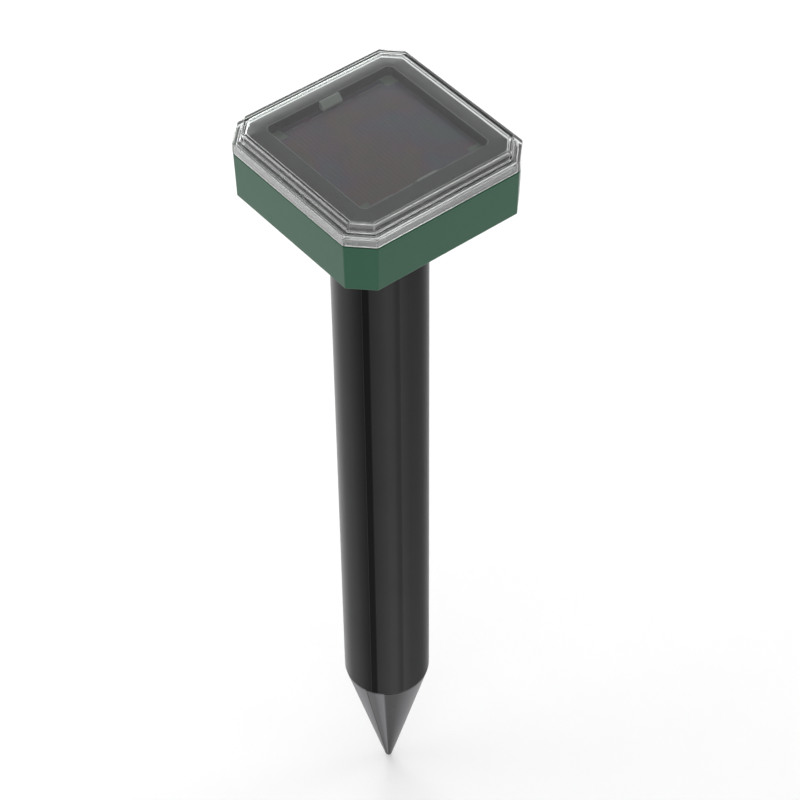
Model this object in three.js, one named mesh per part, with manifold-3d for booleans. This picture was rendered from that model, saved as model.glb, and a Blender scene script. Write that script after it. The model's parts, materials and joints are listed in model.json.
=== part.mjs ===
// A solar mole repeller on a stake: a square head with cut corners, a clear stepped lid over a
// small solar panel, electronics and a rechargeable cell inside the head, and a sounder in the
// spigot that plugs into the top of a round black tube with a pointed end.
//
// Units are millimetres and +Z is up. The origin is on the tube's axis at soil level, so that
// the head stands clear of the ground and everything with z below 0 is buried.

import * as THREE from "three";
import { mergeVertices } from "three/addons/utils/BufferGeometryUtils.js";
import Module from "manifold-3d";

const wasm = await Module();
wasm.setup();

// ---------------------------------------------------------------- driving dimensions

const HEAD_ABOVE_SOIL = 30; // underside of the head
const HEAD_EDGE = 10.3; // from the case screws' axes out to the head's side, at the open top
const HEAD_DRAFT = 0.45; // how much each side draws in by the underside
const HEADROOM = 2.5; // above the tallest thing inside, under the panel tray
const CORNER_CUT = 9; // leg of each cut-off corner
const HOUSING_WALL = 2;
const HOUSING_FLOOR = 2.2;

const GASKET_THICKNESS = 0.5;
const GASKET_SETBACK = 0.4; // from the housing's outer face

const LID_OVERHANG = 0.2; // beyond the housing, each side
const LID_FLANGE_HEIGHT = 4.7;
const LID_SHELF = 3.2; // width of the step round the raised top
const LID_RISE = 4.3; // raised top above the shelf
const LID_DRAFT = 0.4;
const LID_WALL = 1.6;
const LID_TONGUE = 1.2; // thickness of the lip that drops inside the housing
const LID_TONGUE_DEPTH = 2.4; // below the lid's bottom edge

const SNAP_LENGTH = 10;
const SNAP_REACH = 0.8;
const SNAP_HEIGHT = 1;

const PANEL_SIDE = 60;
const PANEL_THICKNESS = 2;
const PANEL_SIDE_GAP = 0.6; // to the wall of its recess
const PANEL_DEPTH = 3.8; // panel face below the tray's face
const RECESS_CORNER_CUT = 1.7;
const SPACER_SIDE = 54;
const SPACER_THICKNESS = 1;
const TRAY_WALL = 1.5;
const TRAY_FLANGE_THICKNESS = 1.6;
const CLIP_WIDTH = 9.5;
const CLIP_REACH = 3; // over the panel's edge, from the recess wall

const TUBE_DIAMETER = 40;
const TUBE_WALL = 1.8;
const TUBE_LENGTH = 293;
const TIP_LENGTH = 73.6; // the part that shows below the tube
const TIP_NOSE_RADIUS = 1.8;
const TIP_SHOULDER = 0.15; // the cone's rim is this much inside the tube's rim
const TIP_PLUG_LENGTH = 16;
const TIP_WALL = 2.2;
const TIP_RIB = 1.6;

const SPIGOT_LENGTH = 34; // plugs into the tube, below the head's underside
const SPIGOT_WALL = 1.8;
const COLLAR_WALL = 2;
const COLLAR_DEPTH = 3;
const O_RING_WIDTH = 2;
const O_RING_GROOVE = 0.9; // depth of its groove
const O_RING_BELOW_HEAD = 12;

const TOUCH_GAP = 0.1; // between pieces that are fastened or rest on each other
const SLIDING_GAP = 0.2; // between pieces that slide, turn or drop in
const LOOSE_GAP = 0.3; // between pieces that only pass each other

const SCREW_SHANK = 2.6;
const SCREW_HEAD = 5.4;
const SCREW_HEAD_HEIGHT = 1.8;
const SCREW_LENGTH = 22;
const SCREW_POST = 7.4; // diameter of the posts that the long screws run through
const SCREW_BEYOND_RECESS = 1.1; // from the recess's outer wall out to the screws' axes

const BOARD_LENGTH = 46; // along X
const BOARD_WIDTH = 30;
const BOARD_THICKNESS = 1.6;
const BOARD_STANDOFF = 5.8; // above the housing floor
const BOARD_WALL_GAP = 1.825; // from the board's back edge to the housing wall
const BOARD_SCREW_INSET = 3.4;
const CAPACITOR_HEIGHT = 8;

const BUTTON_DIAMETER = 7.8;
const BUTTON_PROUD = 2.6; // below the head's underside
const BUTTON_TRAVEL = 1.5;
const SWITCH_SIDE = 7;
const GUARD_WALL = 1.2;
const GUARD_HEIGHT = 1.2;

const CELL_DIAMETER = 14.5; // a standard AA cell
const CELL_LENGTH = 50;
const HOLDER_WALL = 1.2;
const SPRING_LENGTH = 3.9;
const SPRING_WIRE = 0.8;

const SOUNDER_FLANGE = 1.2; // thickness of its mounting ring
const MAGNET_RADIUS = 8.2;
const MAGNET_HEIGHT = 5.2;
const COIL_RADIUS = 5.1;
const COIL_GAP = 1.2; // radial width of the slot the coil moves in
const DIAPHRAGM_TRAVEL = 0.4;
const GRILLE_THICKNESS = 1.6;
const LEAD_DIAMETER = 1.3;

const TUBE_SEGMENTS = 64;
const POST_SEGMENTS = 16;
const BORE_SEGMENTS = 12;

// ---------------------------------------------------------------- derived sizes and levels

const recessHalf = PANEL_SIDE / 2 + PANEL_SIDE_GAP;
const recessOuter = recessHalf + TRAY_WALL;

const holderLength = CELL_LENGTH + SPRING_LENGTH + 1.2 + 2 * HOLDER_WALL;
const holderWidth = CELL_DIAMETER + 2 * HOLDER_WALL + SLIDING_GAP;

// The case screws stand clear of both the panel's recess and the ends of the battery holder.
const screwInset = Math.max(
  recessOuter + SCREW_BEYOND_RECESS,
  holderLength / 2 + LOOSE_GAP + SCREW_POST / 2,
);

const headHalf = screwInset + HEAD_EDGE;
const headHalfLow = headHalf - HEAD_DRAFT;
const cavityHalf = headHalf - HOUSING_WALL;
const cavityHalfLow = headHalfLow - HOUSING_WALL;
const lidHalf = headHalf + LID_OVERHANG;
const raisedHalf = lidHalf - LID_SHELF;
const tongueHalf = cavityHalf - 2 * SLIDING_GAP;
const tongueInner = tongueHalf - LID_TONGUE;
const raisedInner = raisedHalf - LID_WALL;
const trayHalf = raisedInner - LID_DRAFT - LOOSE_GAP - TOUCH_GAP;

const headUnderside = HEAD_ABOVE_SOIL;
const floorTop = headUnderside + HOUSING_FLOOR;
const holderBottom = floorTop + TOUCH_GAP;
const cellBottom = holderBottom + HOLDER_WALL + TOUCH_GAP;
const boardBottom = floorTop + BOARD_STANDOFF;
const boardTop = boardBottom + BOARD_THICKNESS;
const componentBase = boardTop + TOUCH_GAP;

// The head is as tall as what stands on its floor, with the tray, the panel and the lid above.
const trayBottom =
  HEADROOM + Math.max(cellBottom + CELL_DIAMETER, componentBase + CAPACITOR_HEIGHT);
const recessFloor = trayBottom + TRAY_WALL;
const spacerBottom = recessFloor + TOUCH_GAP;
const spacerTop = spacerBottom + SPACER_THICKNESS;
const panelBottom = spacerTop + TOUCH_GAP;
const panelTop = panelBottom + PANEL_THICKNESS;
const trayTop = panelTop + PANEL_DEPTH;
const lidTop = trayTop + LOOSE_GAP + LID_WALL;
const shelfTop = lidTop - LID_RISE;
const lidBottom = shelfTop - LID_FLANGE_HEIGHT;
const gasketTop = lidBottom - TOUCH_GAP / 2;
const gasketBottom = gasketTop - GASKET_THICKNESS;
const rimTop = gasketBottom - TOUCH_GAP / 2;
const trayFlangeBottom = rimTop + 2 * LOOSE_GAP;

const postTop = trayBottom - 2.2;
const bossBottom = postTop + LOOSE_GAP;
const screwHeadBottom = headUnderside + LOOSE_GAP;
const screwTip = screwHeadBottom + SCREW_HEAD_HEIGHT + SCREW_LENGTH;

const tubeRadius = TUBE_DIAMETER / 2;
const tubeBore = tubeRadius - TUBE_WALL;
const tubeTop = headUnderside - SLIDING_GAP;
const tubeBottom = tubeTop - TUBE_LENGTH;
const tipShoulder = tubeBottom - SLIDING_GAP;
const tipPoint = tipShoulder - TIP_LENGTH;
const tipRadius = tubeRadius - TIP_SHOULDER;

const spigotRadius = tubeBore - SLIDING_GAP;
const spigotBore = spigotRadius - SPIGOT_WALL;
const spigotBottom = headUnderside - SPIGOT_LENGTH;
const collarInner = tubeRadius + 2 * SLIDING_GAP;
const collarOuter = collarInner + COLLAR_WALL;
const oRingLevel = headUnderside - O_RING_BELOW_HEAD;

const switchY = (collarOuter + cavityHalfLow) / 2;
const boardY = cavityHalfLow - BOARD_WALL_GAP - BOARD_WIDTH / 2;

const holderY = -(cavityHalfLow - holderWidth / 2 - 4);
const cellZ = cellBottom + CELL_DIAMETER / 2;
const cellEnd = holderLength / 2 - HOLDER_WALL - 0.7;
const cellStart = cellEnd - CELL_LENGTH;

const grilleBottom = spigotBottom + SLIDING_GAP;
const sounderSeat = spigotBottom + 5.2; // underside of the sounder's mounting ring
const ledgeBottom = sounderSeat + SOUNDER_FLANGE + LOOSE_GAP;
const magnetBottom = sounderSeat + 3;
const magnetTop = magnetBottom + MAGNET_HEIGHT;

// ---------------------------------------------------------------- materials

function plastic(color, roughness) {
  return new THREE.MeshStandardMaterial({ color, roughness, metalness: 0 });
}

function metal(color, roughness) {
  return new THREE.MeshStandardMaterial({ color, roughness, metalness: 1 });
}

const greenShell = plastic(0x2f5d45, 0.45);
const blackTube = plastic(0x242426, 0.35);
const greyTip = plastic(0x3a3a3d, 0.4);
const trayBlack = plastic(0x303032, 0.55);
const clipGreen = plastic(0x55645c, 0.5);
const rubber = plastic(0x151515, 0.8);
const spacerWhite = plastic(0xd8d4c8, 0.7);
const boardGreen = plastic(0x1f5a34, 0.5);
const chipBlack = plastic(0x161616, 0.6);
const holderBlack = plastic(0x1c1c1c, 0.5);
const cellSleeve = plastic(0x2c6e3c, 0.4);
const redLead = plastic(0xa02020, 0.5);
const blackLead = plastic(0x1a1a1a, 0.5);
const paperCone = plastic(0x8c8a80, 0.6);
const copper = metal(0xb06a3a, 0.4);
const steel = metal(0xb8babd, 0.35);
const ferrite = plastic(0x3b3b3d, 0.7);
const clearLid = new THREE.MeshStandardMaterial({
  color: 0xdfe6e3,
  roughness: 0.08,
  transparent: true,
  opacity: 0.35,
});
const panelGlass = new THREE.MeshStandardMaterial({ color: 0x3d393e, roughness: 0.12 });

// ---------------------------------------------------------------- solids

// A closed BufferGeometry as a manifold-3d solid.
function solid(geometry) {
  const bare = geometry.index ? geometry.toNonIndexed() : geometry.clone();
  bare.deleteAttribute("normal");
  bare.deleteAttribute("uv");
  const merged = mergeVertices(bare, 1e-4);
  return new wasm.Manifold(
    new wasm.Mesh({
      numProp: 3,
      vertProperties: merged.attributes.position.array,
      triVerts: new Uint32Array(merged.index.array),
    }),
  );
}

// A manifold-3d solid as a BufferGeometry.
function geometryOf(shape) {
  const mesh = shape.getMesh();
  const count = mesh.numVert;
  const positions = new Float32Array(count * 3);
  for (let i = 0; i < count; i++) {
    const start = i * mesh.numProp;
    positions.set(mesh.vertProperties.subarray(start, start + 3), i * 3);
  }
  const geometry = new THREE.BufferGeometry();
  geometry.setAttribute("position", new THREE.BufferAttribute(positions, 3));
  geometry.setIndex(new THREE.BufferAttribute(new Uint32Array(mesh.triVerts), 1));
  geometry.computeVertexNormals();
  return geometry;
}

function unite(shapes) {
  return shapes.reduce((sum, next) => sum.add(next));
}

function cut(body, tools) {
  return tools.reduce((rest, tool) => rest.subtract(tool), body);
}

// The leg of a corner cut after its outline has been moved in by inset.
function insetCut(legLength, inset) {
  return legLength - inset * (2 - Math.SQRT2);
}

// A square with cut corners, as a Shape centred on the origin.
function cutSquare(half, leg) {
  const near = half - leg;
  const corners = [
    [half, -near],
    [half, near],
    [near, half],
    [-near, half],
    [-half, near],
    [-half, -near],
    [-near, -half],
    [near, -half],
  ];
  return new THREE.Shape(corners.map(([x, y]) => new THREE.Vector2(x, y)));
}

// A cut-cornered prism from z0 to z1 that widens evenly from halfLow to halfHigh.
function cutPrism(halfLow, halfHigh, leg, z0, z1) {
  const geometry = new THREE.ExtrudeGeometry(cutSquare(halfLow, leg), {
    depth: z1 - z0,
    bevelEnabled: false,
  });
  const place = geometry.attributes.position;
  const spread = halfHigh / halfLow;
  for (let i = 0; i < place.count; i++) {
    const atTop = place.getZ(i) > (z1 - z0) / 2;
    const scale = atTop ? spread : 1;
    place.setXYZ(i, place.getX(i) * scale, place.getY(i) * scale, place.getZ(i) + z0);
  }
  return solid(geometry);
}

function block(x0, x1, y0, y1, z0, z1) {
  const geometry = new THREE.BoxGeometry(x1 - x0, y1 - y0, z1 - z0);
  geometry.translate((x0 + x1) / 2, (y0 + y1) / 2, (z0 + z1) / 2);
  return solid(geometry);
}

// A block given by its middle in plan, its plan size and its levels.
function blockAt(x, y, width, depth, z0, z1) {
  return block(x - width / 2, x + width / 2, y - depth / 2, y + depth / 2, z0, z1);
}

function cylinder(x, y, radius, z0, z1, segments = POST_SEGMENTS) {
  const geometry = new THREE.CylinderGeometry(radius, radius, z1 - z0, segments);
  geometry.rotateX(Math.PI / 2);
  geometry.translate(x, y, (z0 + z1) / 2);
  return solid(geometry);
}

// A cylinder lying along X.
function cylinderAlongX(x0, x1, y, z, radius, segments) {
  const geometry = new THREE.CylinderGeometry(radius, radius, x1 - x0, segments);
  geometry.rotateZ(Math.PI / 2);
  geometry.translate((x0 + x1) / 2, y, z);
  return solid(geometry);
}

// A body of revolution about Z from [radius, z] points, listed from the bottom up the outside.
function turned(points, segments = TUBE_SEGMENTS) {
  const profile = points.map(([radius, z]) => new THREE.Vector2(Math.max(radius, 0), z));
  const geometry = new THREE.LatheGeometry(profile, segments);
  geometry.rotateX(Math.PI / 2);
  return solid(geometry);
}

// A ring of revolution from a closed loop of [radius, z] points, anticlockwise in (radius, z).
function turnedRing(points, segments = TUBE_SEGMENTS) {
  return turned([...points, points[0]], segments);
}

function ring(outer, inner, z0, z1, segments = TUBE_SEGMENTS) {
  return turnedRing(
    [
      [inner, z0],
      [outer, z0],
      [outer, z1],
      [inner, z1],
    ],
    segments,
  );
}

// A round wire or lead along a smooth curve through points.
function wireThrough(points, diameter, steps, sides) {
  const route = new THREE.CatmullRomCurve3(
    points.map(([x, y, z]) => new THREE.Vector3(x, y, z)),
    false,
    "centripetal",
  );
  const section = new THREE.Shape();
  for (let i = 0; i < sides; i++) {
    const angle = (i / sides) * 2 * Math.PI;
    const x = (diameter / 2) * Math.cos(angle);
    const y = (diameter / 2) * Math.sin(angle);
    if (i === 0) section.moveTo(x, y);
    else section.lineTo(x, y);
  }
  const geometry = new THREE.ExtrudeGeometry(section, { steps, extrudePath: route });
  return solid(geometry);
}

const root = new THREE.Group();

function addPiece(name, shape, material) {
  const mesh = new THREE.Mesh(geometryOf(shape), material);
  mesh.name = name;
  root.add(mesh);
}

// The four corners of a square of the given half side, with a name for each.
function fourCorners(inset) {
  return [
    ["front_right", inset, -inset],
    ["back_right", inset, inset],
    ["back_left", -inset, inset],
    ["front_left", -inset, -inset],
  ];
}

// The middles of the four sides, each as a unit direction outwards.
const sideDirections = [
  [1, 0],
  [0, 1],
  [-1, 0],
  [0, -1],
];

// A block that straddles a side's middle: from reach0 to reach1 outwards, length across.
function sideBlock([dx, dy], reach0, reach1, length, z0, z1) {
  const middle = (reach0 + reach1) / 2;
  const depth = reach1 - reach0;
  const width = dx !== 0 ? depth : length;
  const across = dx !== 0 ? length : depth;
  return blockAt(dx * middle, dy * middle, width, across, z0, z1);
}

// ---------------------------------------------------------------- stake

function makeTube() {
  return ring(tubeRadius, tubeBore, tubeBottom, tubeTop);
}

// Half angle of the cone that leaves its rim and ends tangent to the round nose.
function coneHalfAngle(rimRadius, rimLevel, noseCentre, noseRadius) {
  const height = rimLevel - noseCentre;
  const reach = Math.hypot(rimRadius, height);
  return Math.acos(noseRadius / reach) - Math.atan2(height, rimRadius);
}

function makeTip() {
  const noseCentre = tipPoint + TIP_NOSE_RADIUS;
  const lean = coneHalfAngle(tipRadius, tipShoulder, noseCentre, TIP_NOSE_RADIUS);
  const nose = [];
  const noseSteps = 4;
  for (let i = 0; i <= noseSteps; i++) {
    const angle = -Math.PI / 2 + ((Math.PI / 2 - lean) * i) / noseSteps;
    const radius = TIP_NOSE_RADIUS * Math.cos(angle);
    nose.push([i === 0 ? 0 : radius, noseCentre + TIP_NOSE_RADIUS * Math.sin(angle)]);
  }
  const plugRadius = tubeBore - SLIDING_GAP / 2;
  const plugTop = tipShoulder + TIP_PLUG_LENGTH;
  const plugLead = 1;
  const outside = [
    ...nose,
    [tipRadius, tipShoulder],
    [plugRadius, tipShoulder],
    [plugRadius, plugTop - plugLead],
    [plugRadius - plugLead / 2, plugTop],
  ];
  const boreRadius = plugRadius - TIP_WALL;
  const boreApex = tipShoulder - boreRadius / Math.tan(lean);
  const filled = turned([...outside, [0, plugTop]]);
  const shell = turned([...outside, [boreRadius, plugTop], [boreRadius, tipShoulder], [0, boreApex]]);
  const ribTop = tipShoulder + TIP_PLUG_LENGTH / 2;
  const ribs = unite([
    block(-tubeRadius, tubeRadius, -TIP_RIB / 2, TIP_RIB / 2, boreApex, ribTop),
    block(-TIP_RIB / 2, TIP_RIB / 2, -tubeRadius, tubeRadius, boreApex, ribTop),
  ]);
  return shell.add(ribs.intersect(filled));
}

// ---------------------------------------------------------------- head shell

function boardCorners() {
  const x = BOARD_LENGTH / 2 - BOARD_SCREW_INSET;
  const y = BOARD_WIDTH / 2 - BOARD_SCREW_INSET;
  return [
    ["right", x, boardY - y],
    ["left", -x, boardY - y],
    ["back_right", x, boardY + y],
    ["back_left", -x, boardY + y],
  ];
}

const standoffRadius = 2.4;
const boardScrewBore = 1.2;

function makeHousing() {
  const cavityCut = insetCut(CORNER_CUT, HOUSING_WALL);
  const above = rimTop + 1;
  const shell = cutPrism(headHalfLow, headHalf, CORNER_CUT, headUnderside, rimTop);
  const cavity = cutPrism(
    cavityHalfLow,
    cavityHalf + ((cavityHalf - cavityHalfLow) * (above - rimTop)) / (rimTop - floorTop),
    cavityCut,
    floorTop,
    above,
  );
  const posts = fourCorners(screwInset).map(([, x, y]) =>
    cylinder(x, y, SCREW_POST / 2, headUnderside, postTop),
  );
  const standoffs = boardCorners().map(([, x, y]) =>
    cylinder(x, y, standoffRadius, headUnderside, boardBottom - TOUCH_GAP, BORE_SEGMENTS),
  );
  const spigot = cylinder(0, 0, spigotRadius, spigotBottom, floorTop, TUBE_SEGMENTS);
  const collar = ring(collarOuter, collarInner, headUnderside - COLLAR_DEPTH, floorTop - 1);
  const guard = cylinder(
    0,
    switchY,
    BUTTON_DIAMETER / 2 + SLIDING_GAP + GUARD_WALL,
    headUnderside - GUARD_HEIGHT,
    floorTop,
    24,
  );
  const body = unite([cut(shell, [cavity]), ...posts, ...standoffs, spigot, collar, guard]);

  const grooveHalf = O_RING_WIDTH / 2 + LOOSE_GAP;
  const groove = ring(
    spigotRadius + 1,
    spigotRadius - O_RING_GROOVE,
    oRingLevel - grooveHalf,
    oRingLevel + grooveHalf,
  );
  const bore = turned([
    [0, spigotBottom - 1],
    [spigotBore, spigotBottom - 1],
    [spigotBore, ledgeBottom],
    [spigotBore - 1.8, ledgeBottom],
    [spigotBore - 1.8, ledgeBottom + 1.2],
    [spigotBore, ledgeBottom + 3],
    [spigotBore, floorTop + 1],
    [0, floorTop + 1],
  ]);
  const screwHoles = fourCorners(screwInset).flatMap(([, x, y]) => [
    cylinder(x, y, SCREW_SHANK / 2 + LOOSE_GAP, headUnderside - 1, postTop + 1, BORE_SEGMENTS),
    cylinder(
      x,
      y,
      SCREW_HEAD / 2 + LOOSE_GAP,
      headUnderside - 1,
      screwHeadBottom + SCREW_HEAD_HEIGHT + LOOSE_GAP,
    ),
  ]);
  const boardHoles = boardCorners().map(([, x, y]) =>
    cylinder(x, y, boardScrewBore, floorTop + 1, boardBottom + 1, 8),
  );
  const buttonHole = cylinder(
    0,
    switchY,
    BUTTON_DIAMETER / 2 + SLIDING_GAP,
    headUnderside - GUARD_HEIGHT - 1,
    floorTop + 1,
    24,
  );
  const snapTop = lidBottom - LID_TONGUE_DEPTH + SNAP_HEIGHT;
  const pockets = sideDirections.map((side) =>
    sideBlock(
      side,
      cavityHalfLow - 1,
      tongueHalf + SNAP_REACH + LOOSE_GAP,
      SNAP_LENGTH + 1,
      lidBottom - LID_TONGUE_DEPTH - LOOSE_GAP,
      snapTop + LOOSE_GAP,
    ),
  );
  const boardRelief = blockAt(
    0,
    switchY,
    SWITCH_SIDE + 1,
    SWITCH_SIDE + 1,
    floorTop,
    floorTop + 1,
  );
  return cut(body, [
    groove,
    bore,
    ...screwHoles,
    ...boardHoles,
    buttonHole,
    ...pockets,
    boardRelief,
  ]);
}

function makeGasket() {
  const outer = headHalf - GASKET_SETBACK;
  const inner = cavityHalf + 0.1;
  const outerCut = insetCut(CORNER_CUT, GASKET_SETBACK);
  const innerCut = insetCut(CORNER_CUT, HOUSING_WALL);
  return cut(cutPrism(outer, outer, outerCut, gasketBottom, gasketTop), [
    cutPrism(inner, inner, innerCut, gasketBottom - 1, gasketTop + 1),
  ]);
}

function makeLid() {
  const lidCut = insetCut(CORNER_CUT, -LID_OVERHANG);
  const raisedCut = insetCut(lidCut, LID_SHELF);
  const flange = cutPrism(lidHalf, lidHalf - 0.1, lidCut, lidBottom, shelfTop);
  const raised = cutPrism(raisedHalf, raisedHalf - LID_DRAFT, raisedCut, shelfTop - 1, lidTop);
  const flangeSpace = cutPrism(
    lidHalf - LID_WALL,
    lidHalf - LID_WALL,
    insetCut(lidCut, LID_WALL),
    lidBottom - 1,
    shelfTop - LID_WALL,
  );
  const raisedSpace = cutPrism(
    raisedInner,
    raisedInner - LID_DRAFT,
    insetCut(raisedCut, LID_WALL),
    lidBottom - 2,
    lidTop - LID_WALL,
  );
  const tongueCut = insetCut(lidCut, lidHalf - tongueHalf);
  const tongueBottom = lidBottom - LID_TONGUE_DEPTH;
  const tongue = cut(cutPrism(tongueHalf, tongueHalf, tongueCut, tongueBottom, shelfTop - 1), [
    cutPrism(
      tongueInner,
      tongueInner,
      insetCut(tongueCut, LID_TONGUE),
      tongueBottom - 1,
      shelfTop,
    ),
  ]);
  const snaps = sideDirections.map((side) =>
    sideBlock(
      side,
      tongueInner + 0.2,
      tongueHalf + SNAP_REACH,
      SNAP_LENGTH,
      tongueBottom,
      tongueBottom + SNAP_HEIGHT,
    ),
  );
  const cover = cut(flange.add(raised), [flangeSpace, raisedSpace]);
  return unite([cover, tongue, ...snaps]);
}

// ---------------------------------------------------------------- panel, tray and clips

const leadHoleY = 0;
const leadHoleRadius = 3.5;
const clipWindow = { low: 0.6, high: 2.4 }; // above the panel's face
const clipBarbWidth = 6;

function makeTray() {
  const trayCut = insetCut(CORNER_CUT, headHalf - trayHalf);
  const flangeHalf = tongueInner - LOOSE_GAP;
  const flangeCut = insetCut(CORNER_CUT, headHalf - flangeHalf);
  const outside = cutPrism(trayHalf, trayHalf, trayCut, trayFlangeBottom, trayTop);
  const flange = cutPrism(
    flangeHalf,
    flangeHalf,
    flangeCut,
    trayFlangeBottom,
    trayFlangeBottom + TRAY_FLANGE_THICKNESS,
  );
  const hollowHalf = trayHalf - TRAY_WALL;
  const hollow = cutPrism(
    hollowHalf,
    hollowHalf,
    insetCut(trayCut, TRAY_WALL),
    trayBottom - 1,
    trayTop - TRAY_WALL,
  );
  const well = cutPrism(
    recessOuter,
    recessOuter,
    insetCut(RECESS_CORNER_CUT, -TRAY_WALL),
    trayBottom,
    trayTop - TRAY_WALL / 2,
  );
  const bosses = fourCorners(screwInset).map(([, x, y]) =>
    cylinder(x, y, recessOuter - recessHalf + 1.1, bossBottom, trayTop - TRAY_WALL / 2),
  );
  const recess = cutPrism(recessHalf, recessHalf, RECESS_CORNER_CUT, recessFloor, trayTop + 1);
  const screwHoles = fourCorners(screwInset).map(([, x, y]) =>
    cylinder(x, y, SCREW_SHANK / 2 + SLIDING_GAP, bossBottom - 1, screwTip + 1, BORE_SEGMENTS),
  );
  const leadHole = cylinder(0, leadHoleY, leadHoleRadius, trayBottom - 1, recessFloor + 1);
  const windows = [sideDirections[0], sideDirections[2]].map((side) =>
    sideBlock(
      side,
      recessHalf - 1,
      recessOuter + 1.2,
      clipBarbWidth + 2 * LOOSE_GAP,
      panelTop + clipWindow.low - SLIDING_GAP,
      panelTop + clipWindow.high + SLIDING_GAP,
    ),
  );
  const bars = unite([cut(outside.add(flange), [hollow]), well, ...bosses]);
  return cut(bars, [recess, ...screwHoles, leadHole, ...windows]);
}

function makePanel() {
  const half = PANEL_SIDE / 2;
  const cornerCut = insetCut(RECESS_CORNER_CUT, PANEL_SIDE_GAP);
  return cutPrism(half, half, cornerCut, panelBottom, panelTop);
}

function makeSpacer() {
  const half = SPACER_SIDE / 2;
  const plate = block(-half, half, -half, half, spacerBottom, spacerTop);
  return cut(plate, [cylinder(0, leadHoleY, leadHoleRadius, spacerTop - 3, spacerTop + 1)]);
}

function makeClip(side) {
  const face = recessHalf - TOUCH_GAP;
  const clipBottom = panelTop + TOUCH_GAP;
  return unite([
    sideBlock(side, face - CLIP_REACH, face, CLIP_WIDTH, clipBottom, trayTop - SLIDING_GAP),
    sideBlock(
      side,
      face - 1,
      recessOuter + 0.6,
      clipBarbWidth,
      panelTop + clipWindow.low,
      panelTop + clipWindow.high,
    ),
  ]);
}

// ---------------------------------------------------------------- fasteners

// A pan-head screw along +Z with its head down, cut for a cross-point driver.
function screwUp(x, y, headBottom, headDiameter, headHeight, shankDiameter, length) {
  const headTop = headBottom + headHeight;
  const tip = headTop + length;
  const body = turned(
    [
      [0, headBottom],
      [headDiameter * 0.36, headBottom],
      [headDiameter / 2, headBottom + headHeight * 0.45],
      [headDiameter / 2, headTop],
      [shankDiameter / 2, headTop],
      [shankDiameter / 2, tip - shankDiameter],
      [shankDiameter * 0.15, tip],
      [0, tip],
    ],
    POST_SEGMENTS,
  );
  const slot = headDiameter * 0.13;
  const reach = headDiameter * 0.55;
  const drive = unite([
    blockAt(0, 0, reach, slot, headBottom - 1, headBottom + headHeight * 0.55),
    blockAt(0, 0, slot, reach, headBottom - 1, headBottom + headHeight * 0.55),
  ]);
  return cut(body, [drive]).translate(x, y, 0);
}

// The same screw with its head up, its underside resting at seat.
function screwDown(x, y, seat, headDiameter, headHeight, shankDiameter, length) {
  const upright = screwUp(0, 0, 0, headDiameter, headHeight, shankDiameter, length);
  return upright.rotate(180, 0, 0).translate(x, y, seat + headHeight);
}

// ---------------------------------------------------------------- circuit board and its parts

const boardScrewHead = { diameter: 3.8, height: 1.3, shank: 2, length: 4.6 };

function makeBoard() {
  const board = blockAt(0, boardY, BOARD_LENGTH, BOARD_WIDTH, boardBottom, boardTop);
  const holes = boardCorners().map(([, x, y]) =>
    cylinder(x, y, boardScrewBore, boardBottom - 1, boardTop + 1, BORE_SEGMENTS),
  );
  return cut(board, holes);
}

function makeChip() {
  const x = -11;
  const y = boardY + 2;
  const legs = [];
  for (const side of [-1, 1]) {
    for (let i = 0; i < 4; i++) {
      const legX = x + (i - 1.5) * 2.54;
      legs.push(blockAt(legX, y + side * 3.6, 0.5, 1.2, componentBase, componentBase + 1.8));
    }
  }
  return unite([blockAt(x, y, 9.6, 6.4, componentBase + 0.6, componentBase + 3.6), ...legs]);
}

function makeCapacitor() {
  const radius = 3.15;
  const height = CAPACITOR_HEIGHT;
  const base = componentBase;
  const can = turned(
    [
      [0, base],
      [radius, base],
      [radius, base + 1],
      [radius - 0.3, base + 1.4],
      [radius, base + 1.8],
      [radius, base + height - 0.3],
      [radius - 0.3, base + height],
      [0, base + height],
    ],
    20,
  );
  return can.translate(3, boardY + 5, 0);
}

function makeCoil() {
  const flange = 4.2;
  const waist = 3.4;
  const base = componentBase;
  const bobbin = turned(
    [
      [0, base],
      [flange, base],
      [flange, base + 0.9],
      [waist, base + 1.1],
      [waist, base + 4.6],
      [flange, base + 4.8],
      [flange, base + 5.7],
      [0, base + 5.7],
    ],
    20,
  );
  return bobbin.translate(13, boardY + 3, 0);
}

function makeTransistor() {
  const radius = 2.4;
  const base = componentBase;
  const round = cylinder(0, 0, radius, base + 1.6, base + 6.2, POST_SEGMENTS);
  const flat = blockAt(0, -radius, 3 * radius, radius, base, base + 8);
  const legs = [-1, 0, 1].map((i) => blockAt(i * 1.27, 0.4, 0.45, 0.45, base, base + 2));
  return unite([cut(round, [flat]), ...legs]).translate(3, boardY - 5, 0);
}

// An axial part lying along X: a rounded body between two bent wire ends.
function axialPart(x, y, bodyRadius, bodyLength) {
  const height = componentBase + bodyRadius + 0.2;
  const legReach = bodyLength / 2 + 1.6;
  const body = cylinderAlongX(-bodyLength / 2, bodyLength / 2, 0, height, bodyRadius, 10);
  const wire = block(-legReach, legReach, -0.25, 0.25, height - 0.25, height + 0.25);
  const feet = [-1, 1].map((side) =>
    blockAt(side * (legReach - 0.25), 0, 0.5, 0.5, componentBase, height + 0.25),
  );
  return unite([body, wire, ...feet]).translate(x, y, 0);
}

// ---------------------------------------------------------------- switch and button

const plungerRadius = 1.5;
const switchBodyBottom = floorTop + 0.9;
const plungerTop = switchBodyBottom + 1.8;
const buttonTop = switchBodyBottom - BUTTON_TRAVEL - LOOSE_GAP;
const buttonBottom = headUnderside - BUTTON_PROUD;
const plungerBottom = buttonBottom + 1.6;

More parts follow.
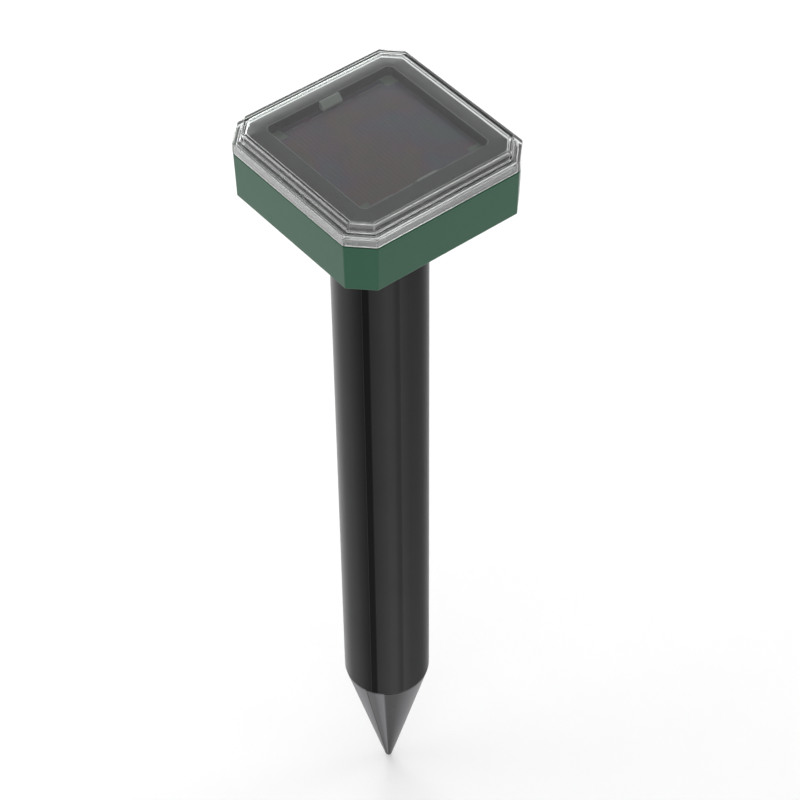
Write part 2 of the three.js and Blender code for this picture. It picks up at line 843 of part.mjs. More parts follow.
function makeSwitchBody() {
  const body = blockAt(
    0,
    switchY,
    SWITCH_SIDE,
    SWITCH_SIDE,
    switchBodyBottom,
    boardBottom - TOUCH_GAP,
  );
  const well = cylinder(
    0,
    switchY,
    plungerRadius + SLIDING_GAP,
    switchBodyBottom - 1,
    plungerTop + BUTTON_TRAVEL + LOOSE_GAP,
  );
  return cut(body, [well]);
}

function makePlunger() {
  return cylinder(0, switchY, plungerRadius, plungerBottom, plungerTop);
}

function makeButtonCap() {
  const radius = BUTTON_DIAMETER / 2;
  const cap = turned(
    [
      [0, buttonBottom],
      [radius * 0.55, buttonBottom + 0.15],
      [radius * 0.85, buttonBottom + 0.6],
      [radius, buttonBottom + 1.4],
      [radius, buttonTop],
      [0, buttonTop],
    ],
    24,
  );
  const socket = cylinder(
    0,
    0,
    plungerRadius + SLIDING_GAP / 2,
    plungerBottom - SLIDING_GAP,
    buttonTop + 1,
  );
  return cut(cap, [socket]).translate(0, switchY, 0);
}

// ---------------------------------------------------------------- cell and holder

function makeHolder() {
  const top = holderBottom + CELL_DIAMETER * 0.75;
  const half = holderLength / 2;
  const box = blockAt(0, holderY, holderLength, holderWidth, holderBottom, top);
  const space = blockAt(
    0,
    holderY,
    holderLength - 2 * HOLDER_WALL,
    holderWidth - 2 * HOLDER_WALL,
    holderBottom + HOLDER_WALL,
    top + 1,
  );
  const wireNotches = [-1, 1].map((side) =>
    blockAt(side * half, holderY, 4 * HOLDER_WALL, LEAD_DIAMETER + 1.4, top - 3, top + 1),
  );
  return cut(box, [space, ...wireNotches]);
}

function makeCell() {
  const radius = CELL_DIAMETER / 2;
  const nub = 1;
  const shell = turned(
    [
      [0, 0],
      [radius * 0.5, 0],
      [radius * 0.55, 0.2],
      [radius - 0.3, 0.2],
      [radius, 0.5],
      [radius, CELL_LENGTH - nub - 0.5],
      [radius - 0.5, CELL_LENGTH - nub],
      [2.75, CELL_LENGTH - nub],
      [2.75, CELL_LENGTH],
      [0, CELL_LENGTH],
    ],
    28,
  );
  return shell.rotate(0, 90, 0).translate(cellStart, holderY, cellZ);
}

const contactPlate = 0.4;
const contactSide = 9;

function makePlusContact() {
  const outerFace = holderLength / 2 - HOLDER_WALL - TOUCH_GAP;
  return block(
    outerFace - contactPlate,
    outerFace,
    holderY - contactSide / 2,
    holderY + contactSide / 2,
    cellZ - contactSide / 2,
    cellZ + contactSide / 2,
  );
}

function makeSpringContact() {
  const start = -holderLength / 2 + HOLDER_WALL + TOUCH_GAP;
  const plate = block(
    start,
    start + contactPlate,
    holderY - contactSide / 2,
    holderY + contactSide / 2,
    cellZ - contactSide / 2,
    cellZ + contactSide / 2,
  );
  const turns = 3;
  const pointsPerTurn = 10;
  const coilStart = start + contactPlate;
  const coilEnd = cellStart - SPRING_WIRE / 2 - TOUCH_GAP;
  const coil = [];
  for (let i = 0; i <= turns * pointsPerTurn; i++) {
    const share = i / (turns * pointsPerTurn);
    const angle = share * turns * 2 * Math.PI;
    const radius = THREE.MathUtils.lerp(4, 2.2, share);
    coil.push([
      THREE.MathUtils.lerp(coilStart, coilEnd, share),
      holderY + radius * Math.cos(angle),
      cellZ + radius * Math.sin(angle),
    ]);
  }
  return plate.add(wireThrough(coil, SPRING_WIRE, turns * 14, 6));
}

// ---------------------------------------------------------------- sounder

const sounderRadius = spigotBore - LOOSE_GAP;
const basketInner = sounderRadius - 2.2;
const diaphragmRadius = basketInner - 0.8;
const diaphragmThickness = 0.35;

function makeSounderFrame() {
  const skin = 0.9;
  const neck = MAGNET_RADIUS + LOOSE_GAP;
  const neckLevel = magnetBottom + 1.4;
  const rimLevel = sounderSeat + SOUNDER_FLANGE;
  const frame = turnedRing([
    [basketInner, sounderSeat],
    [sounderRadius, sounderSeat],
    [sounderRadius, rimLevel],
    [basketInner + 0.2, rimLevel],
    [neck + 1, neckLevel + skin],
    [neck, neckLevel + skin],
    [neck, neckLevel],
    [basketInner - 0.6, rimLevel - skin / 2],
  ]);
  const windows = [0, 45, 90, 135].map((angle) =>
    blockAt(0, 0, 40, 4, rimLevel + 0.5, neckLevel - 0.4).rotate(0, 0, angle + 22.5),
  );
  return cut(frame, windows);
}

// The magnet in its steel pot, with the ring-shaped slot for the coil open at the bottom.
function makeMagnet() {
  const slotInner = COIL_RADIUS - COIL_GAP / 2;
  const slotOuter = COIL_RADIUS + COIL_GAP / 2;
  const slotTop = magnetTop - 1.2;
  return turned([
    [0, magnetBottom],
    [slotInner, magnetBottom],
    [slotInner, slotTop],
    [slotOuter, slotTop],
    [slotOuter, magnetBottom],
    [MAGNET_RADIUS, magnetBottom],
    [MAGNET_RADIUS, magnetTop],
    [0, magnetTop],
  ], 40);
}

function makeDiaphragm() {
  const plane = sounderSeat + TOUCH_GAP;
  const domeDepth = 1;
  const domeRadius = COIL_RADIUS + 0.6;
  return turned([
    [0, plane - domeDepth],
    [domeRadius * 0.6, plane - domeDepth * 0.6],
    [domeRadius, plane],
    [diaphragmRadius, plane],
    [diaphragmRadius, plane + diaphragmThickness],
    [domeRadius - 0.2, plane + diaphragmThickness],
    [domeRadius * 0.6, plane - domeDepth * 0.6 + diaphragmThickness],
    [0, plane - domeDepth + diaphragmThickness],
  ], 40);
}

function makeVoiceCoil() {
  const thickness = 0.4;
  const bottom = sounderSeat + diaphragmThickness + 2 * TOUCH_GAP;
  const top = magnetTop - 1.2 - DIAPHRAGM_TRAVEL - LOOSE_GAP;
  return ring(COIL_RADIUS + thickness / 2, COIL_RADIUS - thickness / 2, bottom, top, 40);
}

function makeGrille() {
  const radius = spigotBore - SLIDING_GAP;
  const plateTop = grilleBottom + GRILLE_THICKNESS;
  const wallTop = sounderSeat - LOOSE_GAP;
  const cup = turned([
    [0, grilleBottom],
    [radius - 0.5, grilleBottom],
    [radius, grilleBottom + 0.5],
    [radius, wallTop],
    [radius - 1.4, wallTop],
    [radius - 1.4, plateTop],
    [0, plateTop],
  ]);
  const slotCount = 8;
  const slots = [];
  for (let i = 0; i < slotCount; i++) {
    const slot = block(4, radius - 3.4, -0.9, 0.9, grilleBottom - 1, plateTop + 1);
    slots.push(slot.rotate(0, 0, (i * 360) / slotCount));
  }
  return cut(cup, [...slots, cylinder(0, 0, 1.6, grilleBottom - 1, plateTop + 1)]);
}

function makeORing() {
  const inner = spigotRadius - O_RING_GROOVE + TOUCH_GAP;
  const outer = tubeBore - TOUCH_GAP;
  const middle = (inner + outer) / 2;
  const section = [];
  const steps = 10;
  for (let i = 0; i < steps; i++) {
    const angle = (i / steps) * 2 * Math.PI;
    section.push([
      middle + ((outer - inner) / 2) * Math.cos(angle),
      oRingLevel + (O_RING_WIDTH / 2) * Math.sin(angle),
    ]);
  }
  return turnedRing(section);
}

// ---------------------------------------------------------------- leads

const leadLevel = boardTop + LEAD_DIAMETER / 2 + 0.2;
const boardFront = boardY - BOARD_WIDTH / 2;

// A pair of leads, one each side of X = 0, from mirrored points.
function leadPair(rightPoints, steps) {
  const left = rightPoints.map(([x, y, z]) => [-x, y, z]);
  return [rightPoints, left].map((points) => wireThrough(points, LEAD_DIAMETER, steps, 8));
}

function solarLeads() {
  return leadPair(
    [
      [1.4, leadHoleY, panelBottom - LEAD_DIAMETER / 2],
      [1.5, leadHoleY, trayBottom - 1],
      [3, leadHoleY + 3, trayBottom - 4.5],
      [6, boardFront - 1.5, leadLevel + 1.5],
      [6.5, boardFront + 3, leadLevel],
    ],
    14,
  );
}

function batteryLeads() {
  const end = holderLength / 2;
  const top = holderBottom + CELL_DIAMETER * 0.75;
  return leadPair(
    [
      [end - HOLDER_WALL / 2, holderY, top - 1.6],
      [end + 0.9, holderY + 0.2, top - 0.4],
      [end + 1.5, holderY + 2, top + 0.8],
      [end - 0.5, holderY + holderWidth / 2 + 3, top + 0.5],
      [BOARD_LENGTH / 2 - 4, boardFront - 3, leadLevel + 1],
      [BOARD_LENGTH / 2 - 8, boardFront + 2, leadLevel],
    ],
    18,
  );
}

function sounderLeads() {
  const leadEndRadius = MAGNET_RADIUS + LEAD_DIAMETER;
  return leadPair(
    [
      [2.6, boardFront + 3, leadLevel],
      [2.8, boardFront - 2, leadLevel - 0.6],
      [3.4, boardFront - 5, boardBottom - 4],
      [6, 3, floorTop - 8],
      [leadEndRadius, 1.5, magnetTop + 6],
      [leadEndRadius, 0.5, magnetTop - 1],
    ],
    22,
  );
}

// ---------------------------------------------------------------- assembly

addPiece("stake_tube", makeTube(), blackTube);
addPiece("stake_tip", makeTip(), greyTip);

addPiece("spigot_o_ring", makeORing(), rubber);
addPiece("head_housing", makeHousing(), greenShell);
addPiece("lid_gasket", makeGasket(), rubber);
addPiece("clear_lid", makeLid(), clearLid);
addPiece("panel_tray", makeTray(), trayBlack);
addPiece("solar_panel", makePanel(), panelGlass);
addPiece("panel_spacer", makeSpacer(), spacerWhite);
addPiece("panel_clip_right", makeClip(sideDirections[0]), clipGreen);
addPiece("panel_clip_left", makeClip(sideDirections[2]), clipGreen);

for (const [corner, x, y] of fourCorners(screwInset)) {
  addPiece(
    `case_screw_${corner}`,
    screwUp(
      x,
      y,
      screwHeadBottom,
      SCREW_HEAD,
      SCREW_HEAD_HEIGHT,
      SCREW_SHANK,
      SCREW_LENGTH,
    ),
    steel,
  );
}

addPiece("circuit_board", makeBoard(), boardGreen);
for (const [corner, x, y] of boardCorners().slice(0, 2)) {
  addPiece(
    `board_screw_${corner}`,
    screwDown(
      x,
      y,
      boardTop + TOUCH_GAP,
      boardScrewHead.diameter,
      boardScrewHead.height,
      boardScrewHead.shank,
      boardScrewHead.length,
    ),
    steel,
  );
}
addPiece("controller_chip", makeChip(), chipBlack);
addPiece("storage_capacitor", makeCapacitor(), chipBlack);
addPiece("boost_coil", makeCoil(), copper);
addPiece("drive_transistor", makeTransistor(), chipBlack);
addPiece("charge_diode", axialPart(13, boardY - 5, 1.3, 4.6), chipBlack);
addPiece("timing_resistor", axialPart(-6, boardY - 4.5, 1.1, 5.6), paperCone);
addPiece("power_switch", makeSwitchBody(), holderBlack);
addPiece("button_plunger", makePlunger(), holderBlack);
addPiece("button_cap", makeButtonCap(), rubber);

addPiece("battery_holder", makeHolder(), holderBlack);
addPiece("battery_cell", makeCell(), cellSleeve);
addPiece("battery_plus_contact", makePlusContact(), steel);
addPiece("battery_spring_contact", makeSpringContact(), steel);

addPiece("sounder_frame", makeSounderFrame(), holderBlack);
addPiece("sounder_magnet", makeMagnet(), ferrite);
addPiece("sounder_diaphragm", makeDiaphragm(), paperCone);
addPiece("voice_coil", makeVoiceCoil(), copper);
addPiece("sounder_grille", makeGrille(), trayBlack);

for (const [name, makeLeads] of [
  ["solar_lead", solarLeads],
  ["battery_lead", batteryLeads],
  ["sounder_lead", sounderLeads],
]) {
  const [right, left] = makeLeads();
  addPiece(`${name}_plus`, right, redLead);
  addPiece(`${name}_minus`, left, blackLead);
}

export default root;
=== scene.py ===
"""Finished surfaces of a solar ground stake repeller, made round its solid frame, and a studio to show it."""

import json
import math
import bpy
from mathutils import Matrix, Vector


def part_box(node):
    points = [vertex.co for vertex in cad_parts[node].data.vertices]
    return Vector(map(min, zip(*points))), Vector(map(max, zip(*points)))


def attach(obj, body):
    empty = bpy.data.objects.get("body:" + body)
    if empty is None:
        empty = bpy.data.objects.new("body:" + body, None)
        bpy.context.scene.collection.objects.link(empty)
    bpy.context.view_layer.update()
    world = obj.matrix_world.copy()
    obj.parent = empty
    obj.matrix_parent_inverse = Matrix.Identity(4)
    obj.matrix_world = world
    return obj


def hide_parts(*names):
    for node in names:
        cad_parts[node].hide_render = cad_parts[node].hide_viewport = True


bl_info = {
    "name": "Solar Ground Stake",
    "version": (1, 0, 0),
    "blender": (4, 5, 0),
    "location": "3D View > Sidebar > Stake",
    "description": "Makes the finished pieces of a solar ground stake repeller and a studio to show it in",
    "category": "Add Mesh",
}

import bmesh
import bpy
from bpy.props import FloatProperty, FloatVectorProperty, IntProperty, PointerProperty
from mathutils import Matrix, Vector

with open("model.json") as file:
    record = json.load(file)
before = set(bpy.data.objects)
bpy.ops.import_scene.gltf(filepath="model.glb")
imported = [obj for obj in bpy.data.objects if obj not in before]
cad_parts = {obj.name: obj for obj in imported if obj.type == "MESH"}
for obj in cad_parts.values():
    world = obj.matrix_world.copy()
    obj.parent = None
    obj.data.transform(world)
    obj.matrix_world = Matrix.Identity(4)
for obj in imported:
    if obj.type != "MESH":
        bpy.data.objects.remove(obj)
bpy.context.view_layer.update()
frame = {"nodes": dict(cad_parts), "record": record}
NODES = frame["nodes"]
MM = 0.001


def low(node):
    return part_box(node)[0]


def high(node):
    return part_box(node)[1]


def mount_place(name):
    """Where one of the part's mounts lies."""
    return next(Vector(m["pos_m"]) for m in frame["record"]["mounts"] if m["name"] == name)


# ------------------------------------------------------------------ places taken from the frame

LID_HALF = high("clear_lid").x
LID_TOP = high("clear_lid").z
TONGUE_BOTTOM = low("clear_lid").z
SEAL_LOW = low("lid_gasket").z
SEAL_HIGH = high("lid_gasket").z
SEAL_HALF = high("lid_gasket").x
LID_BOTTOM = SEAL_HIGH + 0.05 * MM
HEAD_HALF = high("head_housing").x
RIM_TOP = high("head_housing").z
SPIGOT_BOTTOM = low("head_housing").z
UNDERSIDE = mount_place("head_underside").z
TRAY_TOP = high("panel_tray").z
TRAY_LOW = low("panel_tray").z
TRAY_FLANGE_HALF = high("panel_tray").x
PANEL_HALF = high("solar_panel").x
PANEL_TOP = high("solar_panel").z
PANEL_BOTTOM = low("solar_panel").z
SPACER_BOTTOM = low("panel_spacer").z
TUBE_RADIUS = high("stake_tube").x
TUBE_TOP = high("stake_tube").z
TUBE_BOTTOM = low("stake_tube").z
TIP_POINT = low("stake_tip").z
TIP_PLUG_TOP = high("stake_tip").z
SCREW_INSET = (low("case_screw_back_right").x + high("case_screw_back_right").x) / 2
SCREW_LOW = low("case_screw_back_right").z
SCREW_HIGH = high("case_screw_back_right").z
SCREW_HEAD_RADIUS = high("case_screw_back_right").x - SCREW_INSET
BUTTON_Y = (low("button_cap").y + high("button_cap").y) / 2
BUTTON_LOW = low("button_cap").z
BUTTON_HIGH = high("button_cap").z
BUTTON_RADIUS = high("button_cap").x
GRILLE_LOW = low("sounder_grille").z
GRILLE_HIGH = high("sounder_grille").z
GRILLE_RADIUS = high("sounder_grille").x
O_RING_RADIUS = high("spigot_o_ring").x
O_RING_LEVEL = (low("spigot_o_ring").z + high("spigot_o_ring").z) / 2

# ------------------------------------------------------------------ sizes of the moulded shapes

HEAD_LEG = 9.1 * MM  # leg of the cut corner on the head's outline
HEAD_DRAFT = 0.45 * MM
SHELL_WALL = 2.0 * MM
SHELL_FLOOR = 2.2 * MM
LID_WALL = 1.6 * MM
LID_SHELF = 3.2 * MM
LID_RISE = 4.3 * MM
LID_DRAFT = 0.4 * MM
LID_FOOT = 0.9 * MM  # rounding where the raised top meets the shelf
TONGUE_GAP = 0.4 * MM
TONGUE_WALL = 1.2 * MM
SNAP_LENGTH = 10 * MM
SNAP_HEIGHT = 1 * MM
SNAP_REACH = 0.8 * MM
TRAY_GAP = 0.8 * MM
TRAY_WALL = 1.5 * MM
TRAY_FLANGE = 1.6 * MM
RECESS_GAP = 0.6 * MM
RECESS_LEG = 1.7 * MM
TUBE_WALL = 1.8 * MM
TIP_SHOULDER = 0.15 * MM
NOSE_RADIUS = 1.8 * MM
PLUG_WALL = 2.2 * MM
SPIGOT_WALL = 1.8 * MM
SLIDE_GAP = 0.2 * MM
CLIP_REACH = 3 * MM
COLLAR_DEPTH = 3 * MM
COLLAR_WALL = 2 * MM
GUARD_DEPTH = 1.2 * MM
GUARD_WALL = 1.2 * MM
POST_RADIUS = 3.7 * MM
SHANK_RADIUS = 1.3 * MM
SHANK_HOLE = 1.6 * MM
SCREW_HEAD_HEIGHT = 1.8 * MM
O_RING_GROOVE_HALF = 1.3 * MM
O_RING_GROOVE_DEPTH = 0.9 * MM

OCTAGON_SHRINK = 2 - math.sqrt(2)
CORNER_STEPS = 5
FILLET_STEPS = 5


class HeadSettings(bpy.types.PropertyGroup):
    corner_radius: FloatProperty(
        name="Corner Radius", description="Rounding of the head's upright edges",
        default=1.3 * MM, min=0.1 * MM, unit="LENGTH", subtype="DISTANCE",
    )
    lid_edge: FloatProperty(
        name="Lid Edge", description="Rounding of the raised top's edge on the clear lid",
        default=0.4 * MM, min=0.1 * MM, unit="LENGTH", subtype="DISTANCE",
    )
    tray_drop: FloatProperty(
        name="Tray Drop", description="How far the tray's border falls away towards its outer edge",
        default=1.3 * MM, min=0.0, unit="LENGTH", subtype="DISTANCE",
    )
    finger_count: IntProperty(
        name="Fingers", description="Number of fine silver fingers across the solar panel",
        default=29, min=2,
    )
    slot_count: IntProperty(
        name="Grille Slots", description="Number of slots round the sounder's grille", default=8, min=3,
    )
    green: FloatVectorProperty(
        name="Housing Green", description="Colour of the head's housing",
        default=(0.014, 0.076, 0.039), size=3, subtype="COLOR", min=0.0, max=1.0,
    )
    tray_grey: FloatVectorProperty(
        name="Tray Grey", description="Colour of the tray round the solar panel",
        default=(0.04, 0.04, 0.041), size=3, subtype="COLOR", min=0.0, max=1.0,
    )
    cell_brown: FloatVectorProperty(
        name="Cell Brown", description="Main colour of the solar cells",
        default=(0.032, 0.03, 0.036), size=3, subtype="COLOR", min=0.0, max=1.0,
    )


class StakeSettings(bpy.types.PropertyGroup):
    tube_seam: FloatProperty(
        name="Tube Parting Angle", description="Direction of the tube's parting plane, from the X axis",
        default=math.radians(-58.9), unit="ROTATION", subtype="ANGLE",
    )
    tip_seam: FloatProperty(
        name="Tip Parting Angle", description="Direction of the tip's parting plane, from the X axis",
        default=math.radians(-67.4), unit="ROTATION", subtype="ANGLE",
    )
    ridge_height: FloatProperty(
        name="Ridge Height", description="How far the parting ridge stands out of the tube",
        default=0.14 * MM, min=0.0, unit="LENGTH", subtype="DISTANCE",
    )
    ridge_width: FloatProperty(
        name="Ridge Half Width", description="Half the width of the parting ridge",
        default=0.45 * MM, min=0.05 * MM, unit="LENGTH", subtype="DISTANCE",
    )
    tube_black: FloatVectorProperty(
        name="Tube Black", description="Colour of the tube",
        default=(0.005, 0.005, 0.0055), size=3, subtype="COLOR", min=0.0, max=1.0,
    )
    tip_grey: FloatVectorProperty(
        name="Tip Grey", description="Colour of the pointed end",
        default=(0.085, 0.082, 0.088), size=3, subtype="COLOR", min=0.0, max=1.0,
    )


class StudioSettings(bpy.types.PropertyGroup):
    sky_low: FloatProperty(
        name="Sky Horizon", description="Brightness of the surroundings at the horizon",
        default=1.05, min=0.0,
    )
    sky_high: FloatProperty(
        name="Sky Overhead", description="Brightness of the surroundings overhead",
        default=0.35, min=0.0,
    )
    overhead_power: FloatProperty(
        name="Overhead Light", description="Power of the wide light above", default=20.0, min=0.0,
    )
    key_power: FloatProperty(
        name="Key Light", description="Power of the small light in front on the left", default=2.0, min=0.0,
    )
    back_power: FloatProperty(
        name="Back Light", description="Power of the broad light behind on the left", default=28.0, min=0.0,
    )
    front_power: FloatProperty(
        name="Front Light", description="Power of the soft light in front of the nearest corner",
        default=10.0, min=0.0,
    )
    wash_power: FloatProperty(
        name="Floor Wash", description="Power of the light that brightens the floor on the left",
        default=0.35, min=0.0,
    )
    rim_power: FloatProperty(
        name="Rim Light", description="Power of the smaller light behind on the right", default=5.0, min=0.0,
    )
    floor_white: FloatVectorProperty(
        name="Floor", description="Colour of the floor",
        default=(0.93, 0.93, 0.93), size=3, subtype="COLOR", min=0.0, max=1.0,
    )


# ------------------------------------------------------------------ outlines and meshes


def filleted(points, closed=False, steps=FILLET_STEPS):
    """A line of (a, b, radius) corners as (a, b) points, with each corner rounded to its radius."""
    count = len(points)
    line = []
    for i, (a, b, radius) in enumerate(points):
        here = Vector((a, b))
        if radius == 0 or (not closed and i in (0, count - 1)):
            line.append(here)
            continue
        before = Vector(points[i - 1][:2]) - here
        after = Vector(points[(i + 1) % count][:2]) - here
        half_angle = before.angle(after) / 2
        reach = min(radius / math.tan(half_angle), 0.49 * before.length, 0.49 * after.length)
        before.normalize()
        after.normalize()
        centre = here + (before + after).normalized() * (reach / math.cos(half_angle))
        start = here + before * reach - centre
        sweep = start.angle_signed(here + after * reach - centre)
        for k in range(steps + 1):
            line.append(centre + Matrix.Rotation(-sweep * k / steps, 2) @ start)
    return line


def cut_square(half, leg, radius, z):
    """Loop of points round a square whose corners are cut off and softened, anticlockwise from above."""
    near = half - leg
    corners = [
        (half, -near), (half, near), (near, half), (-near, half),
        (-half, near), (-half, -near), (-near, -half), (near, -half),
    ]
    loop = filleted([(x, y, radius) for x, y in corners], closed=True, steps=CORNER_STEPS)
    return [Vector((p.x, p.y, z)) for p in loop]


def head_ring(half, z, corner_radius):
    """One level of a shape that follows the head's outline at another size."""
    inset = HEAD_HALF - half
    return cut_square(half, HEAD_LEG - inset * OCTAGON_SHRINK, max(corner_radius - inset, 0.3 * MM), z)


def ring_round(radius, z, angles, centre=(0.0, 0.0)):
    return [Vector((centre[0] + radius * math.cos(a), centre[1] + radius * math.sin(a), z)) for a in angles]


def even_angles(count):
    return [2 * math.pi * i / count for i in range(count)]


def loft(rings, closed=False):
    """A closed surface through loops of equal count: capped at both ends, or joined end to end."""
    bm = bmesh.new()
    loops = [[bm.verts.new(p) for p in ring] for ring in rings]
    pairs = list(zip(loops, loops[1:]))
    if closed:
        pairs.append((loops[-1], loops[0]))
    for lower, upper in pairs:
        for i in range(len(lower)):
            j = (i + 1) % len(lower)
            bm.faces.new((lower[i], lower[j], upper[j], upper[i]))
    if not closed:
        bm.faces.new(loops[0][::-1])
        bm.faces.new(loops[-1])
    bmesh.ops.recalc_face_normals(bm, faces=bm.faces)
    return bm


def turned(profile, angles=None, centre=(0.0, 0.0), closed=False, steps=FILLET_STEPS):
    """A body of revolution about an upright axis from (radius, z, fillet) corners."""
    angles = angles or even_angles(64)
    line = filleted(profile, closed=closed, steps=steps)
    return loft([ring_round(max(r, 0.0), z, angles, centre) for r, z in line], closed)


def block(x0, x1, y0, y1, z0, z1, edge=0.0):
    """A box, with its edges rounded when an edge size is given."""
    bm = bmesh.new()
    bmesh.ops.create_cube(bm, size=1.0)
    size = Vector((x1 - x0, y1 - y0, z1 - z0))
    bmesh.ops.scale(bm, vec=size, verts=bm.verts)
    bmesh.ops.translate(bm, vec=Vector(((x0 + x1) / 2, (y0 + y1) / 2, (z0 + z1) / 2)), verts=bm.verts)
    if edge > 0:
        bmesh.ops.bevel(bm, geom=bm.edges, offset=edge, segments=2, profile=0.5, affect="EDGES")
    return bm


def merged(parts):
    """Several bmeshes as one, each part keeping its own faces."""
    whole = bmesh.new()
    for part in parts:
        mesh = bpy.data.meshes.new("part")
        part.to_mesh(mesh)
        part.free()
        whole.from_mesh(mesh)
        bpy.data.meshes.remove(mesh)
    return whole


def loose_object(name, bm):
    mesh = bpy.data.meshes.new(name)
    bm.to_mesh(mesh)
    bm.free()
    made = bpy.data.objects.new(name, mesh)
    bpy.context.scene.collection.objects.link(made)
    return made


def settle(piece):
    """Turns what the modifiers give into the piece's own mesh and takes the modifiers off."""
    graph = bpy.context.evaluated_depsgraph_get()
    mesh = bpy.data.meshes.new_from_object(piece.evaluated_get(graph), depsgraph=graph)
    piece.modifiers.clear()
    old = piece.data
    piece.data = mesh
    mesh.name = piece.name
    bpy.data.meshes.remove(old)
    return piece


def carve(piece, tool_parts, operation):
    """Joins tool shapes to a piece, or cuts them out of it, and removes the tools."""
    tool = loose_object("tool", merged(tool_parts))
    modifier = piece.modifiers.new("Carve", "BOOLEAN")
    modifier.object = tool
    modifier.operation = operation
    modifier.solver = "EXACT"
    settle(piece)
    tool_mesh = tool.data
    bpy.data.objects.remove(tool)
    bpy.data.meshes.remove(tool_mesh)
    return piece


def smooth(piece, angle=32):
    """Soft shading across curves, crisp at real edges, flat on wide faces."""
    mesh = piece.data
    mesh.shade_smooth()
    mesh.set_sharp_from_angle(angle=math.radians(angle))
    even = piece.modifiers.new("Even Shading", "WEIGHTED_NORMAL")
    even.keep_sharp = True
    even.weight = 90
    return piece


def dress(piece, material, body, replaced):
    """Gives a piece its finish, its body and the solids that it stands for."""
    piece.data.materials.clear()
    piece.data.materials.append(material)
    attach(piece, body)
    if replaced:
        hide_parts(*replaced)
    return piece


# ------------------------------------------------------------------ node trees

VECTOR = "NodeSocketVector"
COLOUR = "NodeSocketColor"
NUMBER = "NodeSocketFloat"
WHOLE = "NodeSocketInt"
GEOMETRY = "NodeSocketGeometry"
MATERIAL = "NodeSocketMaterial"

def feed(tree, socket, value):
    """Links a socket to another, or sets its own value."""
    if isinstance(value, bpy.types.NodeSocket):
        tree.links.new(value, socket)
    else:
        socket.default_value = value


def add_node(tree, kind, inputs=None, **settings):
    made = tree.nodes.new(kind)
    for key, value in settings.items():
        setattr(made, key, value)
    for key, value in (inputs or {}).items():
        feed(tree, made.inputs[key], value)
    return made


def maths(tree, operation, *values):
    made = tree.nodes.new("ShaderNodeMath")
    made.operation = operation
    for socket, value in zip(made.inputs, values):
        feed(tree, socket, value)
    return made.outputs[0]


def vector_maths(tree, operation, *values):
    made = tree.nodes.new("ShaderNodeVectorMath")
    made.operation = operation
    for socket, value in zip(made.inputs, values):
        feed(tree, socket, value)
    return made.outputs[1] if operation in {"LENGTH", "DISTANCE", "DOT_PRODUCT"} else made.outputs[0]


def remap(tree, value, from_low, from_high, to_low, to_high, smooth_steps=False):
    made = tree.nodes.new("ShaderNodeMapRange")
    made.interpolation_type = "SMOOTHSTEP" if smooth_steps else "LINEAR"
    for key, number in zip(("Value", "From Min", "From Max", "To Min", "To Max"),
                           (value, from_low, from_high, to_low, to_high)):
        feed(tree, made.inputs[key], number)
    return made.outputs["Result"]


def off_plane(tree, place, angle):
    """How far a place lies off the upright plane through the Z axis in one direction."""
    along_x = maths(tree, "MULTIPLY", place.outputs["X"], maths(tree, "SINE", angle))
    along_y = maths(tree, "MULTIPLY", place.outputs["Y"], maths(tree, "COSINE", angle))
    return maths(tree, "SUBTRACT", along_x, along_y)


def blend_colour(tree, share, first, second, mode="MIX"):
    made = tree.nodes.new("ShaderNodeMix")
    made.data_type = "RGBA"
    made.blend_type = mode
    feed(tree, made.inputs[0], share)
    feed(tree, made.inputs[6], first)
    feed(tree, made.inputs[7], second)
    return made.outputs[2]


def rgba(colour):
    return (*colour, 1.0)


def colour_ramp(tree, value, stops):
    """A colour that changes with a value, through (position, colour) stops."""
    made = add_node(tree, "ShaderNodeValToRGB", {"Fac": value})
    ramp = made.color_ramp
    for element, (position, colour) in zip(ramp.elements, (stops[0], stops[-1])):
        element.position = position
        element.color = rgba(colour)
    for position, colour in stops[1:-1]:
        ramp.elements.new(position).color = rgba(colour)
    return made.outputs["Color"]


def tone_ramp(tree, value, stops):
    """A grey that changes with a value, through (position, tone) stops."""
    return colour_ramp(tree, value, [(position, (tone,) * 3) for position, tone in stops])


def open_group(name, kind, inputs, outputs):
    """A new node group with named sockets, and its input and output nodes."""
    tree = bpy.data.node_groups.new(name, kind)
    for label, socket_type, default in inputs:
        socket = tree.interface.new_socket(name=label, in_out="INPUT", socket_type=socket_type)
        if default is not None:
            socket.default_value = default
    for label, socket_type in outputs:
        tree.interface.new_socket(name=label, in_out="OUTPUT", socket_type=socket_type)
    return tree, tree.nodes.new("NodeGroupInput").outputs, tree.nodes.new("NodeGroupOutput").inputs


